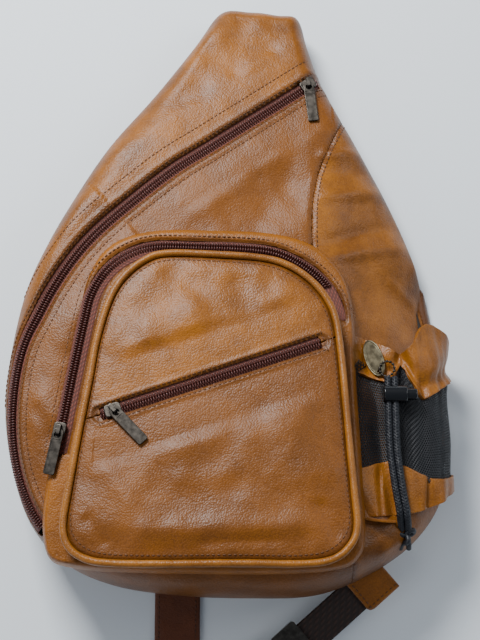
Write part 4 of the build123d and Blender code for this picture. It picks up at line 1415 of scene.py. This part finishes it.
LEFT_STRAND = [(105.55, -41.21, 78.82), (105.55, -93.65, 81.44), (108.55, -119.65, 82.94),
               (111.55, -136.65, 81.74), (113.55, -148.65, 72.14)]
RIGHT_STRAND = [(110.45, -41.21, 78.82), (110.45, -93.65, 81.44), (113.45, -119.65, 82.94),
                (116.45, -136.65, 81.74), (118.45, -148.65, 72.14)]
KNOT = (116.59, -152.21, 69.29)
CORD = 4.6                   # diameter of a strand
BRAID_PITCH = 9.0            # length of a strand in which its yarns wind round once


def strand_curve(name, route, finish):
    """One strand of the drawcord as a smooth spline through its route."""
    curve = bpy.data.curves.new(name, "CURVE")
    curve.dimensions = "3D"
    spline = curve.splines.new("NURBS")
    points = [route[0]]
    for p, q in zip(route, route[1:]):
        points += [tuple((a + b) / 2 for a, b in zip(p, q)), q]
    spline.points.add(len(points) - 1)
    for point, place in zip(spline.points, points):
        point.co = (place[0] * MM, place[1] * MM, place[2] * MM, 1)
        point.radius = (CORD / 2 - 0.6) * MM
    spline.order_u = 3
    spline.use_endpoint_u = True
    spline.resolution_u = 14
    curve.bevel_depth = 1.0
    curve.bevel_resolution = 4
    curve.use_fill_caps = True
    curve.materials.append(material(finish))
    piece = bpy.data.objects.new(name, curve)
    bpy.context.scene.collection.objects.link(piece)
    return piece


def centreline(piece):
    """The points that a spline follows, in mm, evenly spaced."""
    depth = piece.data.bevel_depth
    piece.data.bevel_depth = 0
    graph = bpy.context.evaluated_depsgraph_get()
    graph.update()
    mesh = bpy.data.meshes.new_from_object(piece.evaluated_get(graph))
    line = np.array([v.co for v in mesh.vertices]) / MM
    bpy.data.meshes.remove(mesh)
    piece.data.bevel_depth = depth
    return even(line, 0.5)


def braid(line, radius, turns, strands, phase, sign):
    """Lines that wind round a cord."""
    tangents = directions(line)
    across = np.cross(tangents, [0, 0, 1.0])
    across /= np.linalg.norm(across, axis=1)[:, None]
    lift = np.cross(across, tangents)
    t = np.linspace(0, 1, len(line))
    rows = []
    for k in range(strands):
        angle = sign * t * turns * 2 * np.pi + 2 * np.pi * k / strands + phase
        swing = radius + 0.22 * np.cos(angle * strands)
        rows.append(line + (across * np.cos(angle)[:, None] + lift * np.sin(angle)[:, None]) * swing[:, None])
    return rows


class SLING_OT_drawcord(bpy.types.Operator):
    """Builds the braided drawcord and its knot"""
    bl_idname = "sling.drawcord"
    bl_label = "Drawcord"

    def execute(self, context):
        knot = self.knot()
        for name, route in [("left", LEFT_STRAND), ("right", RIGHT_STRAND)]:
            strand = strand_curve(f"drawcord_{name}_core", route, "cord")
            keep_piece(strand, [f"drawcord_{name}"])
            line = centreline(strand)
            long = np.linalg.norm(np.diff(line, axis=0), axis=1).sum() * MM
            turns = long / MM / BRAID_PITCH
            yarns = [tube(row[::2], 0.92, 6, flat=0.62) for sign, phase in ((1, 0.0), (-1, 0.4))
                     for row in braid(line, CORD / 2 - 0.62, turns, 4, phase, sign)]
            cover = make_piece(f"drawcord_{name}_braid", *joined(yarns), material("cord"))
            keep_piece(cover, [])
        return {"FINISHED"}

    def knot(self):
        """An overhand knot that ties the two strands together, with their cut ends."""
        t = np.linspace(0, 2 * np.pi, 90, endpoint=False)
        loops = np.stack([3.1 * (np.sin(t) + 1.15 * np.sin(2 * t)), 2.7 * (np.cos(t) - 1.15 * np.cos(2 * t)),
                          -1.9 * np.sin(3 * t)], axis=1)
        middle = np.array(KNOT)
        rows = [tube(loops * [1.0, 0.95, 1.25] + middle, 1.95, 10, closed=True)]
        for side in (-1, 1):
            tail = np.array([middle + [side * 2.0, -3.0, -1.0], middle + [side * 2.6, -6.5, -3.0],
                             middle + [side * 3.0, -9.5, -6.5]])
            rows.append(tube(even(tail, 0.8), 1.9, 10))
        piece = make_piece("drawcord_knot_tied", *joined(rows), material("cord"))
        keep_piece(piece, ["drawcord_knot"])
        return piece


# ---------------------------------------------------------------- strap

FOLD_POINT = np.array([-47.0, -292.0])
FOLD_TURN = math.radians(24.6)
FOLD_OUT = np.array([-math.sin(FOLD_TURN), -math.cos(FOLD_TURN)])
FOLD_ALONG = np.array([math.cos(FOLD_TURN), -math.sin(FOLD_TURN)])
FOLD_MIDDLE = 2.3
FOLD_R = 10.0


def folded(plan, above):
    """Strap points given on its unfolded plan and a height over its middle, wrapped round the fold."""
    rel = plan - FOLD_POINT
    out = rel @ FOLD_OUT
    side = rel @ FOLD_ALONG
    bend = math.pi * FOLD_R
    angle = np.clip(out / FOLD_R, 0, math.pi)
    radius = FOLD_R - above
    reach = np.where(out < 0, out, np.where(out > bend, -(out - bend), 0.0))
    reach = reach + np.where((out >= 0) & (out <= bend), radius * np.sin(angle), 0.0)
    z = FOLD_MIDDLE + FOLD_R - radius * np.cos(angle)
    flat = FOLD_POINT + reach[:, None] * FOLD_OUT + side[:, None] * FOLD_ALONG
    return np.column_stack([flat, z])


def flat_section(width, thick, sides=5):
    """Cross section of a strap with rounded edges: (across, above) points."""
    half, r = width / 2, thick / 2
    points = []
    for k in range(sides + 1):
        a = math.pi / 2 - math.pi * k / sides
        points.append((half - r + r * math.cos(a), r * math.sin(a)))
    for u in (0.6, 0.2, -0.2, -0.6):
        points.append((u * half, -r))
    for k in range(sides + 1):
        a = -math.pi / 2 - math.pi * k / sides
        points.append((-half + r + r * math.cos(a), r * math.sin(a)))
    for u in (-0.6, -0.2, 0.2, 0.6):
        points.append((u * half, r))
    return points


def swept(name, place, stations, section, finish):
    """A closed piece swept along stations; place(across, above, station) gives points in mm."""
    rows = [place(np.array([p[0] for p in section]), np.array([p[1] for p in section]), v) for v in stations]
    pts = np.vstack(rows)
    sides = len(section)
    faces = grid_quads(len(stations), sides, closed=True)
    faces += [tuple(range(sides)), tuple((len(stations) - 1) * sides + k for k in range(sides))[::-1]]
    piece = make_piece(name, pts, faces, material(finish))
    mesh = piece.data
    layer = mesh.uv_layers.new(name="UVMap")
    corner = np.zeros(len(mesh.loops), dtype=np.int32)
    mesh.loops.foreach_get("vertex_index", corner)
    across = np.array([p[0] for p in section])[corner % sides] * MM
    run = np.asarray(stations)[corner // sides] * MM
    layer.data.foreach_set("uv", np.column_stack([across, run]).astype(np.float32).ravel())
    reworked(piece)
    return piece


BACK = np.array([0.757, 0.6534])
BACK_SIDE = np.array([0.6534, -0.757])
BACK_START = np.array([-33.92, -297.99])
BACK_HEIGHT = 22.3


def on_back(across, above, station):
    """Points of the strap's return run: along it, across it and above its middle."""
    plan = BACK_START + BACK * station + across[:, None] * BACK_SIDE
    return np.column_stack([plan, BACK_HEIGHT + above + 0 * across])


class SLING_OT_strap(bpy.types.Operator):
    """Builds the shoulder strap with its fold, webbing and sewn ends"""
    bl_idname = "sling.strap"
    bl_label = "Shoulder strap"

    def execute(self, context):
        section = flat_section(34, 3.6)
        x0 = FOLD_POINT[0]

        def lower(across, above, v):
            plan = np.column_stack([x0 + across, np.full(len(across), v)])
            return folded(plan, above)

        joint = FOLD_POINT[1] + 26
        piece = swept("shoulder_strap_leather", lower, np.linspace(40, joint, 90), section, "strap")
        keep_piece(piece, ["shoulder_strap"])
        turn = swept("strap_fold_leather", lower, np.linspace(joint, -366, 70), section, "strap")
        keep_piece(turn, ["strap_fold"])
        self.end()
        edges = []
        for side in (-13.8, 13.8):
            run = np.linspace(-150, -362, 320)
            plan = np.column_stack([np.full(len(run), x0 + side), run])
            top = folded(plan, np.full(len(run), 1.85))
            bottom = folded(plan, np.full(len(run), -1.85))
            rel = (plan - FOLD_POINT) @ FOLD_OUT
            half = int(np.argmax(rel > math.pi * FOLD_R * 0.5))
            up = (top - bottom) / np.linalg.norm(top - bottom, axis=1)[:, None]
            edges.append((top[:half], up[:half]))
            edges.append((bottom[half:], -up[half:]))
        stitched("strap_stitches", edges, "strap thread")
        self.webbing()
        self.anchors()
        return {"FINISHED"}

    def end(self):
        """The strap's end: it comes from the fold and is sewn back round the ring's bar."""
        def place(across, above, v):
            if v <= 44:
                return on_back(across, above, v)
            angle = min((v - 44) / 3.6, math.pi)
            lift = 3.6 * math.sin(angle)
            plan = BACK_START + BACK * (44 + lift) + (across * 0.95)[:, None] * BACK_SIDE
            radius = 3.6 + above
            z = BACK_HEIGHT - 0.4 + radius * math.cos(angle) - 3.2
            plan = plan + BACK * (above * math.sin(angle))[:, None]
            return np.column_stack([plan, z])

        stations = list(np.linspace(31, 44, 10)) + list(np.linspace(44.5, 44 + 3.6 * math.pi, 14))
        piece = swept("strap_end_leather", place, stations, flat_section(34, 3.4), "strap")
        keep_piece(piece, ["strap_end"])

    def webbing(self):
        """Woven webbing from the ring to the sewn corner of the bag."""
        piece = swept("strap_webbing_cloth", lambda a, b, v: on_back(a, b + 0.35 * math.sin(v / 17), v),
                      np.linspace(60, 170, 60), flat_section(25, 2.2, 4), "webbing")
        keep_piece(piece, ["strap_webbing"])
        tab = swept("strap_corner_tab_leather", lambda a, b, v: on_back(a * self.round_end(v), b, v),
                    np.linspace(157, 186, 30), flat_section(33, 6.0), "leather")
        keep_piece(tab, ["strap_corner_tab"])
        rows = []
        for side in (-13.2, 13.2):
            v = np.linspace(159, 184, 12)
            line = np.vstack([on_back(np.array([side]), np.array([3.1]), k) for k in v])
            rows.append((line, np.tile([0.0, 0, 1.0], (len(line), 1))))
        across = np.linspace(-13.2, 13.2, 10)
        line = on_back(across, np.full(10, 3.1), 160.0)
        rows.append((line, np.tile([0.0, 0, 1.0], (len(line), 1))))
        stitched("corner_tab_stitches", rows)

    def round_end(self, v):
        """Share of the tab's width at a station, rounded at its free end."""
        return 0.80 + 0.20 * math.sqrt(max(0.0, 1 - max(0.0, (163 - v) / 6) ** 2))

    def anchors(self):
        """Where the strap's top end is sewn under the bag."""
        section = flat_section(54, 4.4)

        def place(across, above, v):
            return np.column_stack([14 + across, 258.5 - v - 0.075 * across, 6.6 + above])

        piece = swept("strap_anchor_top_leather", place, np.linspace(0, 23, 12), section, "strap")
        keep_piece(piece, ["strap_anchor_top"])


class SLING_OT_pads(bpy.types.Operator):
    """Builds the two padded areas on the back"""
    bl_idname = "sling.pads"
    bl_label = "Back pads"

    def execute(self, context):
        for name in ("back_pad_left", "back_pad_right"):
            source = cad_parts[name]
            mesh = source.data.copy()
            mesh.materials.clear()
            mesh.materials.append(material("pad"))
            piece = bpy.data.objects.new(name + "_foam", mesh)
            bpy.context.scene.collection.objects.link(piece)
            again = piece.modifiers.new("even", "REMESH")
            again.mode = "VOXEL"
            again.voxel_size = 0.003
            apply_modifiers(piece)
            piece.data.materials.clear()
            piece.data.materials.append(material("pad"))
            self.crown(piece)
            soft = piece.modifiers.new("soft", "SMOOTH")
            soft.iterations = 12
            apply_modifiers(piece)
            self.clamp(piece)
            piece.data.shade_smooth()
            keep_piece(piece, [name])
        return {"FINISHED"}

    def crown(self, piece):
        """Quilts the pad's underside with shallow seams, where the foam is pressed."""
        co = np.array([v.co for v in piece.data.vertices]) / MM
        low = co[:, 2] < 4
        lines = np.abs(((co[:, 0] * 0.5 + co[:, 1]) % 62) - 31)
        press = 1.6 * np.exp(-(lines / 3.0) ** 2)
        co[low, 2] += press[low]
        piece.data.vertices.foreach_set("co", (co * MM).astype(np.float32).ravel())

    def clamp(self, piece):
        """Keeps the pad on the floor."""
        co = np.array([v.co for v in piece.data.vertices])
        co[:, 2] = np.maximum(co[:, 2], 0.0)
        piece.data.vertices.foreach_set("co", co.astype(np.float32).ravel())


# ---------------------------------------------------------------- metal fittings, tag and lock

def finish_cad(names, finish):
    """Gives CAD fittings that stay in view their finish."""
    for name in names:
        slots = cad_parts[name].data.materials
        slots.clear()
        slots.append(material(finish))


class SLING_OT_fittings(bpy.types.Operator):
    """Finishes the sliders, pullers, tag, cord lock, ring and adjuster, and builds the tag's chain"""
    bl_idname = "sling.fittings"
    bl_label = "Fittings"

    def execute(self, context):
        metal = [f"{line}_zip_{part}" for line in ("main", "pocket", "slant")
                 for part in ("slider", "puller")]
        finish_cad(metal + ["strap_ring", "strap_adjuster"], "metal")
        finish_cad(["oval_tag"], "tag metal")
        finish_cad(["cord_lock_barrel", "cord_lock_button"], "plastic")
        self.rim()
        self.chain()
        return {"FINISHED"}

    def rim(self):
        """The raised rim and the worn oval pattern of the tag's face, without its lettering."""
        turn, lean = math.radians(-68), math.radians(-31.8)
        centre = np.array([98.0, -26.0, 32 + 1.3 + 32.31 + 1.8])
        t = np.linspace(0, 2 * np.pi, 97)[:-1]
        lines = []
        for share, radius in ((0.955, 0.42), (0.80, 0.22)):
            flat = np.column_stack([14.5 * share * np.cos(t), 6.8 * share * np.sin(t), np.full(len(t), 1.55)])
            x = flat[:, 0] * math.cos(turn) - flat[:, 1] * math.sin(turn)
            y = flat[:, 0] * math.sin(turn) + flat[:, 1] * math.cos(turn)
            line = np.column_stack([x * math.cos(lean) + flat[:, 2] * math.sin(lean), y,
                                    -x * math.sin(lean) + flat[:, 2] * math.cos(lean)]) + centre
            lines.append(tube(line, radius, 8, closed=True))
        ring = make_piece("oval_tag_rim", *joined(lines), material("tag metal"))
        outward(ring)
        keep_piece(ring, [], "tag")

    def chain(self):
        """A short loop of ball chain through the tag's hole."""
        centre = np.array([105.85, -34.51, 73.64])
        axis = np.array([-0.35, 0, 0.94])
        axis /= np.linalg.norm(axis)
        first = np.array([0, 1.0, 0])
        second = np.cross(axis, first)
        t = np.linspace(0, 2 * np.pi, 73)
        loop = centre + 5.4 * (first[None] * np.cos(t)[:, None] + second[None] * np.sin(t)[:, None])
        bead = sizes().bead
        piece = along("tag_chain_beads", [(loop, np.tile(axis, (len(loop), 1)))], bead * 1.12,
                      (bead, bead, bead), "metal")
        pts, quads = tube(loop[:-1], 0.4, 6, closed=True)
        link = make_piece("tag_chain_wire", pts, quads, material("metal"))
        outward(link)
        keep_piece(piece, ["tag_chain"], "tag")
        keep_piece(link, [], "tag")


# ---------------------------------------------------------------- stage

class SLING_OT_stage(bpy.types.Operator):
    """Sets the floor, the soft lights and the camera"""
    bl_idname = "sling.stage"
    bl_label = "Stage"

    def execute(self, context):
        bpy.ops.mesh.primitive_plane_add(size=6.0)
        floor = context.object
        floor.name = "floor"
        made, _, shader = new_material("pale paper")
        shader.inputs["Base Color"].default_value = to_linear("EAF1F6")
        shader.inputs["Roughness"].default_value = 0.85
        floor.data.materials.append(made)
        rows = [("key", (-0.42, 0.78, 0.95), 0.42, 25.0), ("fill", (0.95, 0.35, 0.85), 0.6, 4.0),
                ("low", (-0.85, -0.70, 0.70), 0.7, 3.0)]
        for name, place, size, power in rows:
            light = bpy.data.lights.new(name, "AREA")
            light.size = size
            light.energy = power
            lamp = bpy.data.objects.new(name, light)
            lamp.location = place
            aim = Vector((0, 0, 0.03)) - Vector(place)
            lamp.rotation_euler = aim.to_track_quat("-Z", "Y").to_euler()
            context.scene.collection.objects.link(lamp)
        world = bpy.data.worlds.new("studio")
        world.use_nodes = True
        world.node_tree.nodes["Background"].inputs[0].default_value = (0.74, 0.84, 0.98, 1)
        world.node_tree.nodes["Background"].inputs[1].default_value = 0.28
        context.scene.world = world
        lens = bpy.data.cameras.new("camera")
        lens.sensor_fit = "VERTICAL"
        lens.sensor_height = 24
        lens.lens = 44.25
        lens.dof.use_dof = False
        camera = bpy.data.objects.new("camera", lens)
        target = Vector((0, 0, 0.08))
        elevation = math.radians(79)
        distance = 0.85
        camera.location = target + Vector((0, -math.cos(elevation), math.sin(elevation))) * distance
        camera.rotation_euler = (target - camera.location).to_track_quat("-Z", "Y").to_euler()
        context.scene.collection.objects.link(camera)
        context.scene.camera = camera
        return {"FINISHED"}


class SLING_PT_panel(bpy.types.Panel):
    """Lists the bag's settings and pieces in the 3D view's sidebar"""
    bl_idname = "SLING_PT_panel"
    bl_label = "Sling Bag"
    bl_space_type = "VIEW_3D"
    bl_region_type = "UI"
    bl_category = "Sling Bag"

    def draw(self, context):
        for group in (context.scene.sling_bag_sizes, context.scene.sling_bag_colours):
            for name in group.__annotations__:
                self.layout.prop(group, name)
        for name in STEPS:
            self.layout.operator("sling." + name)


STEPS = [
    "body", "pocket", "zips", "stitches", "bottle_pocket", "drawcord", "strap", "pads", "fittings", "stage",
]
CLASSES = [
    SlingBagSizes, SlingBagColours, SLING_OT_body, SLING_OT_pocket, SLING_OT_zips, SLING_OT_stitches,
    SLING_OT_bottle_pocket, SLING_OT_drawcord, SLING_OT_strap, SLING_OT_pads, SLING_OT_fittings,
    SLING_OT_stage, SLING_PT_panel,
]


def register():
    """Registers the add-on's classes and settings."""
    for cls in CLASSES:
        bpy.utils.register_class(cls)
    bpy.types.Scene.sling_bag_sizes = bpy.props.PointerProperty(type=SlingBagSizes)
    bpy.types.Scene.sling_bag_colours = bpy.props.PointerProperty(type=SlingBagColours)


def unregister():
    """Removes them again."""
    del bpy.types.Scene.sling_bag_sizes
    del bpy.types.Scene.sling_bag_colours
    for cls in reversed(CLASSES):
        bpy.utils.unregister_class(cls)


def main():
    """Builds the bag piece by piece."""
    register()
    for name in STEPS:
        getattr(bpy.ops.sling, name)()


if __name__ == "__main__":
    main()
